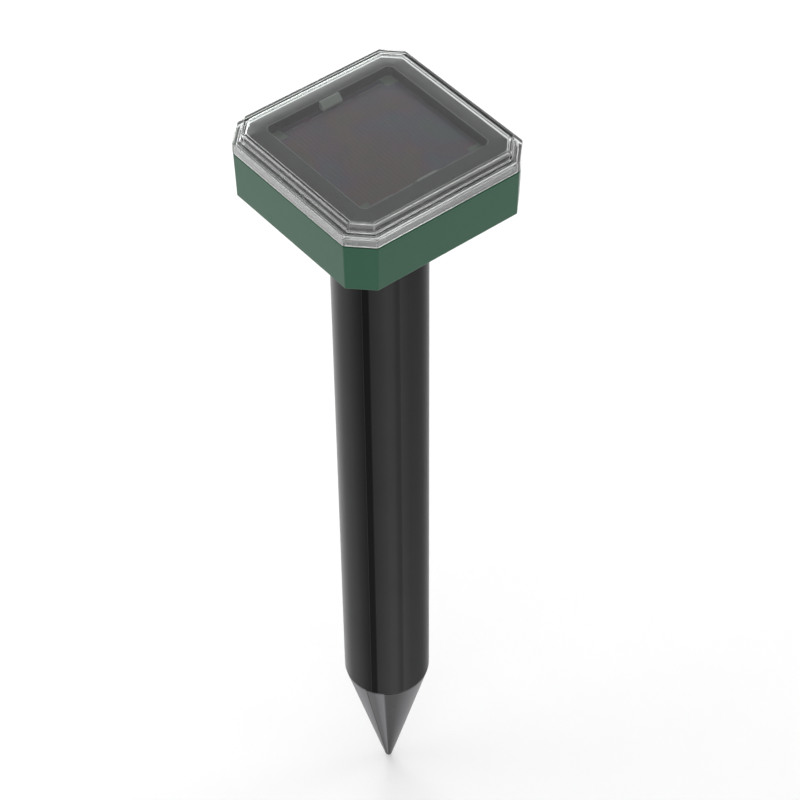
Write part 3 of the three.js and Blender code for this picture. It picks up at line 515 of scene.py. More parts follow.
def moulded_surface_group():
    """Fine grain and slow drifts of tone, as every moulded piece has."""
    tree, given, result = open_group(
        "Moulded Surface", "ShaderNodeTree",
        [
            ("Vector", VECTOR, None),
            ("Colour", COLOUR, (0.5, 0.5, 0.5, 1.0)),
            ("Roughness", NUMBER, 0.4),
            ("Grain Scale", NUMBER, 2500.0),
            ("Drift Scale", NUMBER, 35.0),
            ("Tone Drift", NUMBER, 0.08),
            ("Gloss Drift", NUMBER, 0.08),
        ],
        [("Colour", COLOUR), ("Roughness", NUMBER), ("Height", NUMBER)],
    )
    grain = add_node(tree, "ShaderNodeTexNoise",
                     {"Vector": given["Vector"], "Scale": given["Grain Scale"], "Detail": 2.0})
    drift = add_node(tree, "ShaderNodeTexNoise", {
        "Vector": given["Vector"], "Scale": given["Drift Scale"], "Detail": 4.0, "Roughness": 0.55,
    })
    swing = maths(tree, "SUBTRACT", drift.outputs["Fac"], 0.5)
    full_drift = maths(tree, "MULTIPLY", given["Tone Drift"], 2.0)
    tone = maths(tree, "ADD", maths(tree, "MULTIPLY", swing, full_drift), 1.0)
    speck = maths(tree, "MULTIPLY", maths(tree, "SUBTRACT", grain.outputs["Fac"], 0.5), given["Tone Drift"])
    scaled = vector_maths(tree, "SCALE", given["Colour"])
    feed(tree, scaled.node.inputs["Scale"], maths(tree, "ADD", tone, speck))
    rough = maths(tree, "ADD", given["Roughness"], maths(tree, "MULTIPLY", swing, given["Gloss Drift"]))
    feed(tree, result["Colour"], scaled)
    feed(tree, result["Roughness"], maths(tree, "MAXIMUM", rough, 0.02))
    feed(tree, result["Height"], grain.outputs["Fac"])
    return tree


def handling_marks_group():
    """Thin scuffs in two directions, from being handled and packed."""
    tree, given, result = open_group(
        "Handling Marks", "ShaderNodeTree",
        [
            ("Vector", VECTOR, None),
            ("Scale", NUMBER, 60.0),
            ("Amount", NUMBER, 0.3),
        ],
        [("Mask", NUMBER)],
    )
    masks = []
    for turn, stretch in ((0.5, (1.0, 22.0, 1.0)), (-0.9, (24.0, 1.0, 2.0))):
        mapped = add_node(tree, "ShaderNodeMapping",
                          {"Vector": given["Vector"], "Rotation": (0.2, 0.1, turn), "Scale": stretch})
        noise = add_node(tree, "ShaderNodeTexNoise",
                         {"Vector": mapped.outputs[0], "Scale": given["Scale"], "Detail": 3.0})
        masks.append(remap(tree, noise.outputs["Fac"], 0.66, 0.74, 0.0, 1.0))
    both = maths(tree, "MAXIMUM", *masks)
    feed(tree, result["Mask"], maths(tree, "MULTIPLY", both, given["Amount"]))
    return tree


def settled_dust_group():
    """A little dust on faces that look upwards, in soft patches with finer specks."""
    tree, given, result = open_group(
        "Settled Dust", "ShaderNodeTree",
        [("Vector", VECTOR, None), ("Amount", NUMBER, 0.2)],
        [("Mask", NUMBER)],
    )
    geometry = add_node(tree, "ShaderNodeNewGeometry")
    upright = add_node(tree, "ShaderNodeSeparateXYZ", {"Vector": geometry.outputs["Normal"]})
    facing = remap(tree, upright.outputs["Z"], 0.2, 0.95, 0.0, 1.0, smooth_steps=True)
    patches = add_node(tree, "ShaderNodeTexNoise", {"Vector": given["Vector"], "Scale": 90.0, "Detail": 5.0})
    specks = add_node(tree, "ShaderNodeTexNoise", {"Vector": given["Vector"], "Scale": 1400.0, "Detail": 1.0})
    fine = remap(tree, specks.outputs["Fac"], 0.55, 0.75, 0.0, 1.0)
    cover = maths(tree, "MULTIPLY", remap(tree, patches.outputs["Fac"], 0.35, 0.7, 0.2, 1.0), fine)
    settled = maths(tree, "MULTIPLY", cover, facing)
    feed(tree, result["Mask"], maths(tree, "MULTIPLY", settled, given["Amount"]))
    return tree


def parting_turn_group():
    """How far round from the mould's parting plane a place lies, 0 to 1 for each half, and the line."""
    tree, given, result = open_group(
        "Parting Turn", "ShaderNodeTree",
        [
            ("Vector", VECTOR, None),
            ("Angle", NUMBER, 2.1),
            ("Line Width", NUMBER, 0.0003),
        ],
        [("Turn", NUMBER), ("Line", NUMBER)],
    )
    place = add_node(tree, "ShaderNodeSeparateXYZ", {"Vector": given["Vector"]})
    direction = maths(tree, "ARCTAN2", place.outputs["Y"], place.outputs["X"])
    relative = maths(tree, "DIVIDE", maths(tree, "SUBTRACT", direction, given["Angle"]), math.pi)
    across = off_plane(tree, place, given["Angle"])
    line = remap(tree, maths(tree, "ABSOLUTE", across), maths(tree, "MULTIPLY", given["Line Width"], 0.5),
                 given["Line Width"], 1.0, 0.0)
    feed(tree, result["Turn"], maths(tree, "FRACT", relative))
    feed(tree, result["Line"], line)
    return tree


GROUPS = {}


def build_groups():
    GROUPS["surface"] = moulded_surface_group()
    GROUPS["marks"] = handling_marks_group()
    GROUPS["dust"] = settled_dust_group()
    GROUPS["turn"] = parting_turn_group()


def place_group(tree, key, inputs):
    made = tree.nodes.new("ShaderNodeGroup")
    made.node_tree = GROUPS[key]
    for name, value in inputs.items():
        feed(tree, made.inputs[name], value)
    return made.outputs


def new_material(name):
    """An empty node material: the material, its tree, its shader and the object coordinates."""
    material = bpy.data.materials.new(name)
    material.use_nodes = True
    tree = material.node_tree
    shader = tree.nodes["Principled BSDF"]
    coordinates = tree.nodes.new("ShaderNodeTexCoord").outputs["Object"]
    return material, tree, shader, coordinates


def add_bump(tree, shader, height, depth):
    bump = add_node(tree, "ShaderNodeBump", {"Height": height, "Distance": depth, "Strength": 1.0})
    tree.links.new(bump.outputs["Normal"], shader.inputs["Normal"])


def moulded(name, colour, roughness, grain=2500.0, depth=0.00001, tone=0.08, gloss=0.08,
            marks=0.0, dust=0.0, metallic=0.0, ior=1.46, coat=0.0):
    """A moulded, pressed or drawn material with grain, drifting tone, scuffs and a little dust."""
    material, tree, shader, coordinates = new_material(name)
    surface = place_group(tree, "surface", {
        "Vector": coordinates, "Colour": rgba(colour), "Roughness": roughness, "Grain Scale": grain,
        "Tone Drift": tone, "Gloss Drift": gloss,
    })
    colour_out = surface["Colour"]
    rough_out = surface["Roughness"]
    if marks > 0:
        scuffs = place_group(tree, "marks", {"Vector": coordinates, "Amount": marks})
        rough_out = maths(tree, "ADD", rough_out, scuffs["Mask"])
    if dust > 0:
        film = place_group(tree, "dust", {"Vector": coordinates, "Amount": dust})
        colour_out = blend_colour(tree, film["Mask"], colour_out, (0.42, 0.41, 0.38, 1.0))
        rough_out = maths(tree, "ADD", rough_out, maths(tree, "MULTIPLY", film["Mask"], 0.5))
    feed(tree, shader.inputs["Base Color"], colour_out)
    feed(tree, shader.inputs["Roughness"], rough_out)
    shader.inputs["Metallic"].default_value = metallic
    shader.inputs["IOR"].default_value = ior
    shader.inputs["Coat Weight"].default_value = coat
    add_bump(tree, shader, surface["Height"], depth)
    return material


def beyond_outline(tree, place, half, leg):
    """How far a place lies outside an upright square outline with cut corners."""
    x = maths(tree, "ABSOLUTE", place.outputs["X"])
    y = maths(tree, "ABSOLUTE", place.outputs["Y"])
    beside = maths(tree, "SUBTRACT", maths(tree, "MAXIMUM", x, y), half)
    across = maths(tree, "SUBTRACT", maths(tree, "ADD", x, y), 2 * half - leg)
    return maths(tree, "MAXIMUM", beside, maths(tree, "MULTIPLY", across, math.sqrt(0.5)))


def clear_material():
    """Clear hard plastic: almost no colour, polished, with hair-fine scuffs."""
    material, tree, shader, coordinates = new_material("Clear Plastic")
    surface = place_group(tree, "surface", {
        "Vector": coordinates, "Colour": (0.965, 0.985, 0.975, 1.0), "Roughness": 0.03,
        "Grain Scale": 300.0, "Tone Drift": 0.01, "Gloss Drift": 0.02,
    })
    scuffs = place_group(tree, "marks", {"Vector": coordinates, "Scale": 45.0, "Amount": 0.04})
    place = add_node(tree, "ShaderNodeSeparateXYZ", {"Vector": coordinates})
    wall = LID_HALF - LID_SHELF - LID_WALL / 2
    outside = beyond_outline(tree, place, wall, HEAD_LEG - (HEAD_HALF - wall) * OCTAGON_SHRINK)
    walls = maths(tree, "MULTIPLY", remap(tree, outside, 0.0, 0.1 * MM, 0.0, 1.0),
                  remap(tree, place.outputs["Z"], LID_TOP - 0.6 * MM, LID_TOP - 0.2 * MM, 1.0, 0.0))
    feed(tree, shader.inputs["Base Color"], surface["Colour"])
    feed(tree, shader.inputs["Roughness"], maths(tree, "ADD", surface["Roughness"], scuffs["Mask"]))
    feed(tree, shader.inputs["Coat Weight"], walls)
    shader.inputs["Coat IOR"].default_value = 1.8
    shader.inputs["Metallic"].default_value = 0.0
    shader.inputs["Transmission Weight"].default_value = 1.0
    shader.inputs["IOR"].default_value = 1.58
    add_bump(tree, shader, surface["Height"], 0.000004)
    return material


def tray_material(colour):
    """Grained plastic with painted shade inside the panel's recess and a painted highlight along the recess's
    edge.
    """
    material, tree, shader, coordinates = new_material("Tray Plastic")
    surface = place_group(tree, "surface", {
        "Vector": coordinates, "Colour": rgba(colour), "Roughness": 0.42, "Grain Scale": 2200.0,
        "Tone Drift": 0.15,
    })
    place = add_node(tree, "ShaderNodeSeparateXYZ", {"Vector": coordinates})
    outside = beyond_outline(tree, place, PANEL_HALF + RECESS_GAP, RECESS_LEG)
    depth = maths(tree, "SUBTRACT", TRAY_TOP, place.outputs["Z"])
    # painted shade: the recess below its rim is made near-black
    deep = maths(tree, "MULTIPLY", remap(tree, outside, 0.02 * MM, 0.1 * MM, 1.0, 0.0),
                 remap(tree, depth, 0.3 * MM, 0.6 * MM, 0.0, 1.0))
    shaded = blend_colour(tree, deep, surface["Colour"], (0.006, 0.006, 0.007, 1.0))
    # painted highlight: a lighter grey along the recess's rim
    painted_rim_highlight = maths(tree, "MULTIPLY", remap(tree, depth, 0.15 * MM, 0.3 * MM, 1.0, 0.0),
                   remap(tree, outside, 0.35 * MM, 0.5 * MM, 1.0, 0.0))
    feed(tree, shader.inputs["Base Color"], blend_colour(tree, painted_rim_highlight, shaded, (0.15, 0.15, 0.155, 1.0)))
    feed(tree, shader.inputs["Roughness"], surface["Roughness"])
    shader.inputs["IOR"].default_value = 1.46
    add_bump(tree, shader, surface["Height"], 0.00003)
    return material


def band_mask(tree, value, half, softness):
    """1 where the value lies within half of zero, falling to 0 over the softness."""
    size = maths(tree, "ABSOLUTE", value)
    return remap(tree, size, half, half + softness, 1.0, 0.0)


CELL_MARGIN = 1.1 * MM  # laminate that shows round the cells
CELL_CORNER = 24.2 * MM  # from the panel's middle to the bare laminate in its corners
# the thin film's colours, over the range of the noise that places them
FILM_TINTS = (
    (0.28, (0.008, 0.04, 0.02)), (0.4, (0.017, 0.022, 0.058)), (0.5, (0.05, 0.012, 0.042)),
    (0.6, (0.056, 0.02, 0.014)), (0.72, (0.017, 0.032, 0.024)),
)


def solar_material(settings):
    """Dark cells under a clear cast face: faint crystals, oil-film tints and a green laminate border."""
    material, tree, shader, coordinates = new_material("Solar Cells")
    place = add_node(tree, "ShaderNodeSeparateXYZ", {"Vector": coordinates})
    crystals = add_node(tree, "ShaderNodeTexVoronoi", {"Vector": coordinates, "Scale": 260.0})
    tint = add_node(tree, "ShaderNodeTexNoise", {
        "Vector": coordinates, "Scale": 42.0, "Detail": 1.5, "Roughness": 0.4, "Distortion": 0.6,
    })
    film = colour_ramp(tree, tint.outputs["Fac"], FILM_TINTS)
    cells = blend_colour(tree, 0.8, rgba(settings.cell_brown), film)
    crystal_tone = add_node(tree, "ShaderNodeSeparateColor", {"Color": crystals.outputs["Color"]})
    facets = remap(tree, crystal_tone.outputs["Red"], 0.0, 1.0, 0.9, 1.1)
    cells_toned = vector_maths(tree, "SCALE", cells)
    feed(tree, cells_toned.node.inputs["Scale"], facets)
    cell_half = PANEL_HALF - CELL_MARGIN
    inside = maths(tree, "MULTIPLY", band_mask(tree, place.outputs["X"], cell_half, 0.1 * MM),
                   band_mask(tree, place.outputs["Y"], cell_half, 0.1 * MM))
    beyond = []
    for axis in "XY":
        off_middle = maths(tree, "ABSOLUTE", place.outputs[axis])
        beyond.append(remap(tree, off_middle, CELL_CORNER, CELL_CORNER + 0.2 * MM, 0.0, 1.0))
    corners = maths(tree, "MULTIPLY", *beyond)
    cover = maths(tree, "MULTIPLY", inside, maths(tree, "SUBTRACT", 1.0, corners))
    laminate = blend_colour(tree, corners, (0.035, 0.037, 0.037, 1.0), (0.07, 0.088, 0.07, 1.0))
    feed(tree, shader.inputs["Base Color"], blend_colour(tree, cover, laminate, cells_toned))
    surface = place_group(tree, "surface", {"Vector": coordinates, "Roughness": 0.32, "Grain Scale": 1500.0})
    feed(tree, shader.inputs["Roughness"], surface["Roughness"])
    shader.inputs["Coat Weight"].default_value = 0.45
    shader.inputs["Coat Roughness"].default_value = 0.12
    add_bump(tree, shader, surface["Height"], 0.000004)
    return material


# how glossy the tube is round one half of its mould, from the parting line on
TUBE_GLOSS = (
    (0.0, 0.08), (0.003, 0.01), (0.04, 0.01), (0.047, 0.35), (0.103, 0.52), (0.158, 0.7), (0.19, 0.67),
    (0.222, 0.4), (0.241, 0.4), (0.246, 0.59), (0.308, 0.32), (0.383, 0.14), (0.43, 0.05), (0.49, 0.08),
    (0.58, 0.3), (0.658, 0.58), (0.755, 0.46), (0.809, 0.33), (0.892, 0.33), (0.926, 0.27), (0.958, 0.19),
    (0.99, 0.1),
)
# painted light and shade: how much lighter or darker the tip's colour is made round one half of its mould
TIP_PAINTED_SHADING = (
    (0.0, 0.6), (0.06, 0.7), (0.09, 1.3), (0.13, 1.8), (0.145, 0.3), (0.17, 0.2), (0.24, 0.3),
    (0.29, 0.6), (0.35, 1.0), (0.42, 1.4), (0.5, 1.8), (0.66, 2.2), (0.8, 1.1), (0.9, 1.8), (1.0, 1.3),
)


def stake_material(name, colour, seam_angle, roughness, painted_shading, gloss):
    """Satin plastic of the stake: its colour carries painted light and shade round it, or its gloss changes
    round it from the parting line.
    """
    material, tree, shader, coordinates = new_material(name)
    turn = place_group(tree, "turn", {"Vector": coordinates, "Angle": seam_angle, "Line Width": 0.45 * MM})
    surface = place_group(tree, "surface", {
        "Vector": coordinates, "Colour": rgba(colour), "Roughness": roughness, "Grain Scale": 1800.0,
        "Drift Scale": 22.0, "Tone Drift": 0.1, "Gloss Drift": 0.1,
    })
    scuffs = place_group(tree, "marks", {"Vector": coordinates, "Scale": 40.0, "Amount": 0.12})
    colour_out = surface["Colour"]
    if painted_shading:
        # painted light and shade: the ramp makes the colour lighter or darker round the stake
        colour_out = blend_colour(tree, 1.0, colour_out, tone_ramp(tree, turn["Turn"], painted_shading), "MULTIPLY")
        # painted shade: a thin dark line along the tip's parting groove
        colour_out = blend_colour(tree, turn["Line"], colour_out, rgba((0.012, 0.012, 0.013)))
    if gloss:
        drifted = maths(tree, "MULTIPLY", tone_ramp(tree, turn["Turn"], gloss), surface["Roughness"])
        feed(tree, shader.inputs["Coat Weight"], maths(tree, "DIVIDE", drifted, roughness))
        shader.inputs["Coat Roughness"].default_value = roughness
    feed(tree, shader.inputs["Base Color"], colour_out)
    feed(tree, shader.inputs["Roughness"], maths(tree, "ADD", surface["Roughness"], scuffs["Mask"]))
    shader.inputs["IOR"].default_value = 1.1 if gloss else 1.33
    add_bump(tree, shader, surface["Height"], 0.000012)
    return material


def board_material():
    """Green laminate with pale tracks under the lacquer and tinned pads."""
    material, tree, shader, coordinates = new_material("Board Laminate")
    surface = place_group(tree, "surface", {
        "Vector": coordinates, "Colour": (0.02, 0.115, 0.045, 1.0), "Roughness": 0.36, "Grain Scale": 1200.0,
    })
    bricks = add_node(tree, "ShaderNodeTexBrick",
                      {"Vector": coordinates, "Scale": 130.0, "Mortar Size": 0.06, "Brick Width": 0.9})
    tracks = maths(tree, "MULTIPLY", bricks.outputs["Fac"], 0.55)
    green = blend_colour(tree, tracks, surface["Colour"], (0.09, 0.3, 0.12, 1.0))
    pads = add_node(tree, "ShaderNodeTexVoronoi", {"Vector": coordinates, "Scale": 390.0, "Randomness": 0.0})
    tin = remap(tree, pads.outputs["Distance"], 0.2, 0.26, 1.0, 0.0)
    feed(tree, shader.inputs["Base Color"], blend_colour(tree, tin, green, (0.6, 0.6, 0.57, 1.0)))
    feed(tree, shader.inputs["Metallic"], tin)
    feed(tree, shader.inputs["Roughness"], surface["Roughness"])
    add_bump(tree, shader, maths(tree, "ADD", tracks, tin), 0.00003)
    return material


def banded_material(name, colour, band_colour, axis, scale, roughness, metallic=0.0):
    """Turns of wire or painted rings: even bands along one axis."""
    material, tree, shader, coordinates = new_material(name)
    surface = place_group(tree, "surface", {
        "Vector": coordinates, "Colour": rgba(colour), "Roughness": roughness, "Tone Drift": 0.15,
    })
    bands = add_node(tree, "ShaderNodeTexWave", {"Vector": coordinates, "Scale": scale, "Distortion": 0.0},
                     bands_direction=axis)
    feed(tree, shader.inputs["Base Color"],
         blend_colour(tree, bands.outputs["Fac"], surface["Colour"], rgba(band_colour)))
    feed(tree, shader.inputs["Roughness"], surface["Roughness"])
    shader.inputs["Metallic"].default_value = metallic
    add_bump(tree, shader, bands.outputs["Fac"], 0.00005)
    return material


FINISHES = {}


def build_finishes(head, stake):
    """Every material of the part, under the name of its slot."""
    FINISHES.update({
        "green_shell": moulded("Housing Green", head.green, 0.33, depth=0.000012, tone=0.05,
                               marks=0.1, dust=0.05, ior=1.37),
        "clear_plastic": clear_material(),
        "tray_plastic": tray_material(head.tray_grey),
        "solar_cells": solar_material(head),
        "clip_plastic": moulded("Clip Plastic", (0.24, 0.265, 0.245), 0.4, tone=0.1),
        "black_tube": stake_material("Tube Black", stake.tube_black, stake.tube_seam, 0.3, (), TUBE_GLOSS),
        "grey_tip": stake_material("Tip Grey", stake.tip_grey, stake.tip_seam, 0.4, TIP_PAINTED_SHADING, ()),
        "seal_rubber": moulded("Seal Rubber", (0.012, 0.012, 0.012), 0.6, tone=0.2),
        "button_rubber": moulded("Button Rubber", (0.03, 0.03, 0.031), 0.62, tone=0.2, marks=0.1),
        "spacer_plastic": moulded("Spacer Plastic", (0.62, 0.6, 0.54), 0.55),
        "screw_steel": moulded("Screw Steel", (0.56, 0.56, 0.54), 0.32, metallic=1.0, marks=0.25, tone=0.15),
        "contact_metal": moulded("Contact Nickel", (0.66, 0.64, 0.6), 0.25, metallic=1.0, marks=0.2),
        "board_laminate": board_material(),
        "component_black": moulded("Component Black", (0.014, 0.014, 0.015), 0.5,
                                   grain=3500.0, depth=0.00004),
        "resistor_coat": banded_material("Resistor Lacquer", (0.5, 0.38, 0.22), (0.2, 0.05, 0.02),
                                         "X", 140.0, 0.35),
        "coil_copper": banded_material("Copper Winding", (0.72, 0.32, 0.16), (0.35, 0.12, 0.05),
                                       "Z", 700.0, 0.3, metallic=1.0),
        "black_plastic": moulded("Black Plastic", (0.014, 0.014, 0.015), 0.45, tone=0.15),
        "cell_sleeve": moulded("Cell Sleeve", (0.035, 0.16, 0.06), 0.28, tone=0.06, marks=0.15),
        "magnet_steel": moulded("Magnet Steel", (0.3, 0.3, 0.31), 0.38, metallic=1.0, tone=0.2, marks=0.2),
        "diaphragm_film": moulded("Diaphragm Film", (0.22, 0.21, 0.18), 0.35, tone=0.1),
        "red_lead": moulded("Red Lead", (0.42, 0.02, 0.018), 0.38, tone=0.06),
        "black_lead": moulded("Black Lead", (0.013, 0.013, 0.013), 0.4, tone=0.1),
    })


# ------------------------------------------------------------------ geometry trees


def run_tree(piece, tree, values):
    """Puts a geometry tree on a piece, sets its inputs by identifier and keeps only the result."""
    modifier = piece.modifiers.new(tree.name, "NODES")
    modifier.node_group = tree
    for item in tree.interface.items_tree:
        if item.in_out == "INPUT" and item.name in values:
            modifier[item.identifier] = values[item.name]
    return settle(piece)


def close_tree(tree, geometry, material, result):
    """Ends a geometry tree in real geometry with its material."""
    real = add_node(tree, "GeometryNodeRealizeInstances", {"Geometry": geometry})
    painted = add_node(tree, "GeometryNodeSetMaterial", {"Geometry": real.outputs[0], "Material": material})
    feed(tree, result["Geometry"], painted.outputs[0])


def parting_ridge_tree():
    """Raises a thin ridge on both sides of a round moulding, where its Skin attribute is 1."""
    tree, given, result = open_group(
        "Parting Ridge", "GeometryNodeTree",
        [
            ("Geometry", GEOMETRY, None),
            ("Angle", NUMBER, 2.1),
            ("Height", NUMBER, 0.0001),
            ("Half Width", NUMBER, 0.0004),
            ("Material", MATERIAL, None),
        ],
        [("Geometry", GEOMETRY)],
    )
    position = add_node(tree, "GeometryNodeInputPosition")
    place = add_node(tree, "ShaderNodeSeparateXYZ", {"Vector": position.outputs[0]})
    across = off_plane(tree, place, given["Angle"])
    near = remap(tree, maths(tree, "ABSOLUTE", across), 0.0, given["Half Width"], 1.0, 0.0, smooth_steps=True)
    skin = add_node(tree, "GeometryNodeInputNamedAttribute", {"Name": "Skin"}, data_type="FLOAT")
    lift = maths(tree, "MULTIPLY", maths(tree, "MULTIPLY", near, given["Height"]), skin.outputs["Attribute"])
    flat = add_node(tree, "ShaderNodeCombineXYZ", {"X": place.outputs["X"], "Y": place.outputs["Y"]})
    outward = vector_maths(tree, "NORMALIZE", flat.outputs[0])
    offset = vector_maths(tree, "SCALE", outward)
    feed(tree, offset.node.inputs["Scale"], lift)
    moved = add_node(tree, "GeometryNodeSetPosition", {"Geometry": given["Geometry"], "Offset": offset})
    close_tree(tree, moved.outputs[0], given["Material"], result)
    return tree


def corner_copies_tree():
    """Copies what it is given to the four corners of a square, each turned by its own amount."""
    tree, given, result = open_group(
        "Corner Copies", "GeometryNodeTree",
        [
            ("Geometry", GEOMETRY, None),
            ("Spread", NUMBER, 0.03),
            ("Seed", WHOLE, 7),
            ("Material", MATERIAL, None),
        ],
        [("Geometry", GEOMETRY)],
    )
    side = maths(tree, "MULTIPLY", given["Spread"], 2.0)
    corners = add_node(tree, "GeometryNodeMeshGrid",
                       {"Size X": side, "Size Y": side, "Vertices X": 2, "Vertices Y": 2})
    turn = add_node(tree, "FunctionNodeRandomValue", {"Seed": given["Seed"]}, data_type="FLOAT_VECTOR")
    feed(tree, turn.inputs[0], (0.0, 0.0, 0.0))
    feed(tree, turn.inputs[1], (0.0, 0.0, 2 * math.pi))
    copies = add_node(tree, "GeometryNodeInstanceOnPoints", {
        "Points": corners.outputs["Mesh"], "Instance": given["Geometry"], "Rotation": turn.outputs[0],
    })
    close_tree(tree, copies.outputs[0], given["Material"], result)
    return tree


def ring_of_slots_tree():
    """Cuts slots that point outwards, evenly round an upright axis."""
    tree, given, result = open_group(
        "Ring of Slots", "GeometryNodeTree",
        [
            ("Geometry", GEOMETRY, None),
            ("Count", WHOLE, 8),
            ("Middle Radius", NUMBER, 0.008),
            ("Length", NUMBER, 0.008),
            ("Width", NUMBER, 0.0018),
            ("Level", NUMBER, 0.0),
            ("Depth", NUMBER, 0.01),
            ("Material", MATERIAL, None),
        ],
        [("Geometry", GEOMETRY)],
    )
    circle = add_node(tree, "GeometryNodeMeshCircle",
                      {"Vertices": given["Count"], "Radius": given["Middle Radius"]})
    size = add_node(tree, "ShaderNodeCombineXYZ",
                    {"X": given["Length"], "Y": given["Width"], "Z": given["Depth"]})
    cutter = add_node(tree, "GeometryNodeMeshCube", {"Size": size.outputs[0]})
    position = add_node(tree, "GeometryNodeInputPosition")
    facing = add_node(tree, "FunctionNodeAlignRotationToVector", {"Vector": position.outputs[0]}, axis="X")
    cutters = add_node(tree, "GeometryNodeInstanceOnPoints", {
        "Points": circle.outputs[0], "Instance": cutter.outputs["Mesh"], "Rotation": facing.outputs[0],
    })
    lift = add_node(tree, "ShaderNodeCombineXYZ", {"Z": given["Level"]})
    placed = add_node(tree, "GeometryNodeTransform",
                      {"Geometry": cutters.outputs[0], "Translation": lift.outputs[0]})
    solid = add_node(tree, "GeometryNodeRealizeInstances", {"Geometry": placed.outputs[0]})
    cut = add_node(tree, "GeometryNodeMeshBoolean", operation="DIFFERENCE", solver="EXACT")
    tree.links.new(given["Geometry"], cut.inputs[0])
    tree.links.new(solid.outputs[0], cut.inputs[1])
    close_tree(tree, cut.outputs[0], given["Material"], result)
    return tree


def silver_fingers_tree():
    """Fine parallel strips in one direction with two wider ribbons across their ends."""
    tree, given, result = open_group(
        "Silver Fingers", "GeometryNodeTree",
        [
            ("Geometry", GEOMETRY, None),
            ("Count", WHOLE, 29),
            ("Span", NUMBER, 0.054),
            ("Finger Length", NUMBER, 0.053),
            ("Finger Width", NUMBER, 0.00009),
            ("Thickness", NUMBER, 0.00002),
            ("Level", NUMBER, 0.055),
            ("Material", MATERIAL, None),
        ],
        [("Geometry", GEOMETRY)],
    )
    size = add_node(tree, "ShaderNodeCombineXYZ",
                    {"X": given["Finger Length"], "Y": given["Finger Width"], "Z": given["Thickness"]})
    finger = add_node(tree, "GeometryNodeMeshCube", {"Size": size.outputs[0]})
    gaps = maths(tree, "SUBTRACT", given["Count"], 1.0)
    step = add_node(tree, "ShaderNodeCombineXYZ", {"Y": maths(tree, "DIVIDE", given["Span"], gaps)})
    start = add_node(tree, "ShaderNodeCombineXYZ",
                     {"Y": maths(tree, "MULTIPLY", given["Span"], -0.5), "Z": given["Level"]})
    line = add_node(tree, "GeometryNodeMeshLine", {
        "Count": given["Count"], "Start Location": start.outputs[0], "Offset": step.outputs[0],
    }, mode="OFFSET")
    fingers = add_node(tree, "GeometryNodeInstanceOnPoints",
                       {"Points": line.outputs[0], "Instance": finger.outputs["Mesh"]})
    both = add_node(tree, "GeometryNodeJoinGeometry")
    tree.links.new(fingers.outputs[0], both.inputs[0])
    tree.links.new(given["Geometry"], both.inputs[0])
    close_tree(tree, both.outputs[0], given["Material"], result)
    return tree


# ------------------------------------------------------------------ the head's pieces


def lid_profile(edge):
    """The lid's section from the middle of its top, down outside, round the flange and up inside."""
    shelf = LID_TOP - LID_RISE
    ceiling = LID_TOP - LID_WALL
    raised = LID_HALF - LID_SHELF
    draft = LID_DRAFT
    tongue = HEAD_HALF - SHELL_WALL - TONGUE_GAP
    flange_inner = LID_HALF - LID_WALL
    inner = raised - LID_WALL
    under_shelf = shelf - LID_WALL
    return [
        (raised - 4 * MM, LID_TOP, 0),
        (raised - draft, LID_TOP, edge),
        (raised, shelf, LID_FOOT),
        (LID_HALF - 0.1 * MM, shelf, 0.4 * MM),
        (LID_HALF, LID_BOTTOM, 0.35 * MM),
        (flange_inner, LID_BOTTOM, 0.25 * MM),
        (flange_inner, under_shelf, 0.3 * MM),
        (tongue, under_shelf, 0.2 * MM),
        (tongue, TONGUE_BOTTOM, 0.3 * MM),
        (tongue - TONGUE_WALL, TONGUE_BOTTOM, 0.3 * MM),
        (tongue - TONGUE_WALL, under_shelf, 0.25 * MM),
        (inner, under_shelf, 0.3 * MM),
        (inner - draft, ceiling, 0.6 * MM),
        (raised - 6 * MM, ceiling, 0),
    ]


def side_blocks(reach_low, reach_high, length, z0, z1, edge):
    """One small block at the middle of each of the four sides."""
    half = length / 2
    return [
        block(reach_low, reach_high, -half, half, z0, z1, edge),
        block(-reach_high, -reach_low, -half, half, z0, z1, edge),
        block(-half, half, reach_low, reach_high, z0, z1, edge),
        block(-half, half, -reach_high, -reach_low, z0, z1, edge),
    ]


def make_lid(settings):
    line = filleted(lid_profile(settings.lid_edge))
    rings = [head_ring(half, z, settings.corner_radius) for half, z in line]
    lid = loose_object("lid", loft(rings))
    tongue = HEAD_HALF - SHELL_WALL - TONGUE_GAP
    snaps = side_blocks(tongue - 0.6 * MM, tongue + SNAP_REACH, SNAP_LENGTH,
                        TONGUE_BOTTOM + 0.05 * MM, TONGUE_BOTTOM + SNAP_HEIGHT, 0.2 * MM)
    carve(lid, snaps, "UNION")
    smooth(lid)
    return dress(lid, FINISHES["clear_plastic"], "head", ["clear_lid"])


def four_corners(inset):
    return [(sx * inset, sy * inset) for sx in (1, -1) for sy in (1, -1)]


def rod(x, y, radius, z0, z1, count=32, edge=0.0):
    """An upright round bar with softened ends."""
    bar = [(0.0, z0, 0), (radius, z0, edge), (radius, z1, edge), (0.0, z1, 0)]
    line = filleted(bar, steps=3)[1:-1]
    return loft([ring_round(r, z, even_angles(count), (x, y)) for r, z in line])


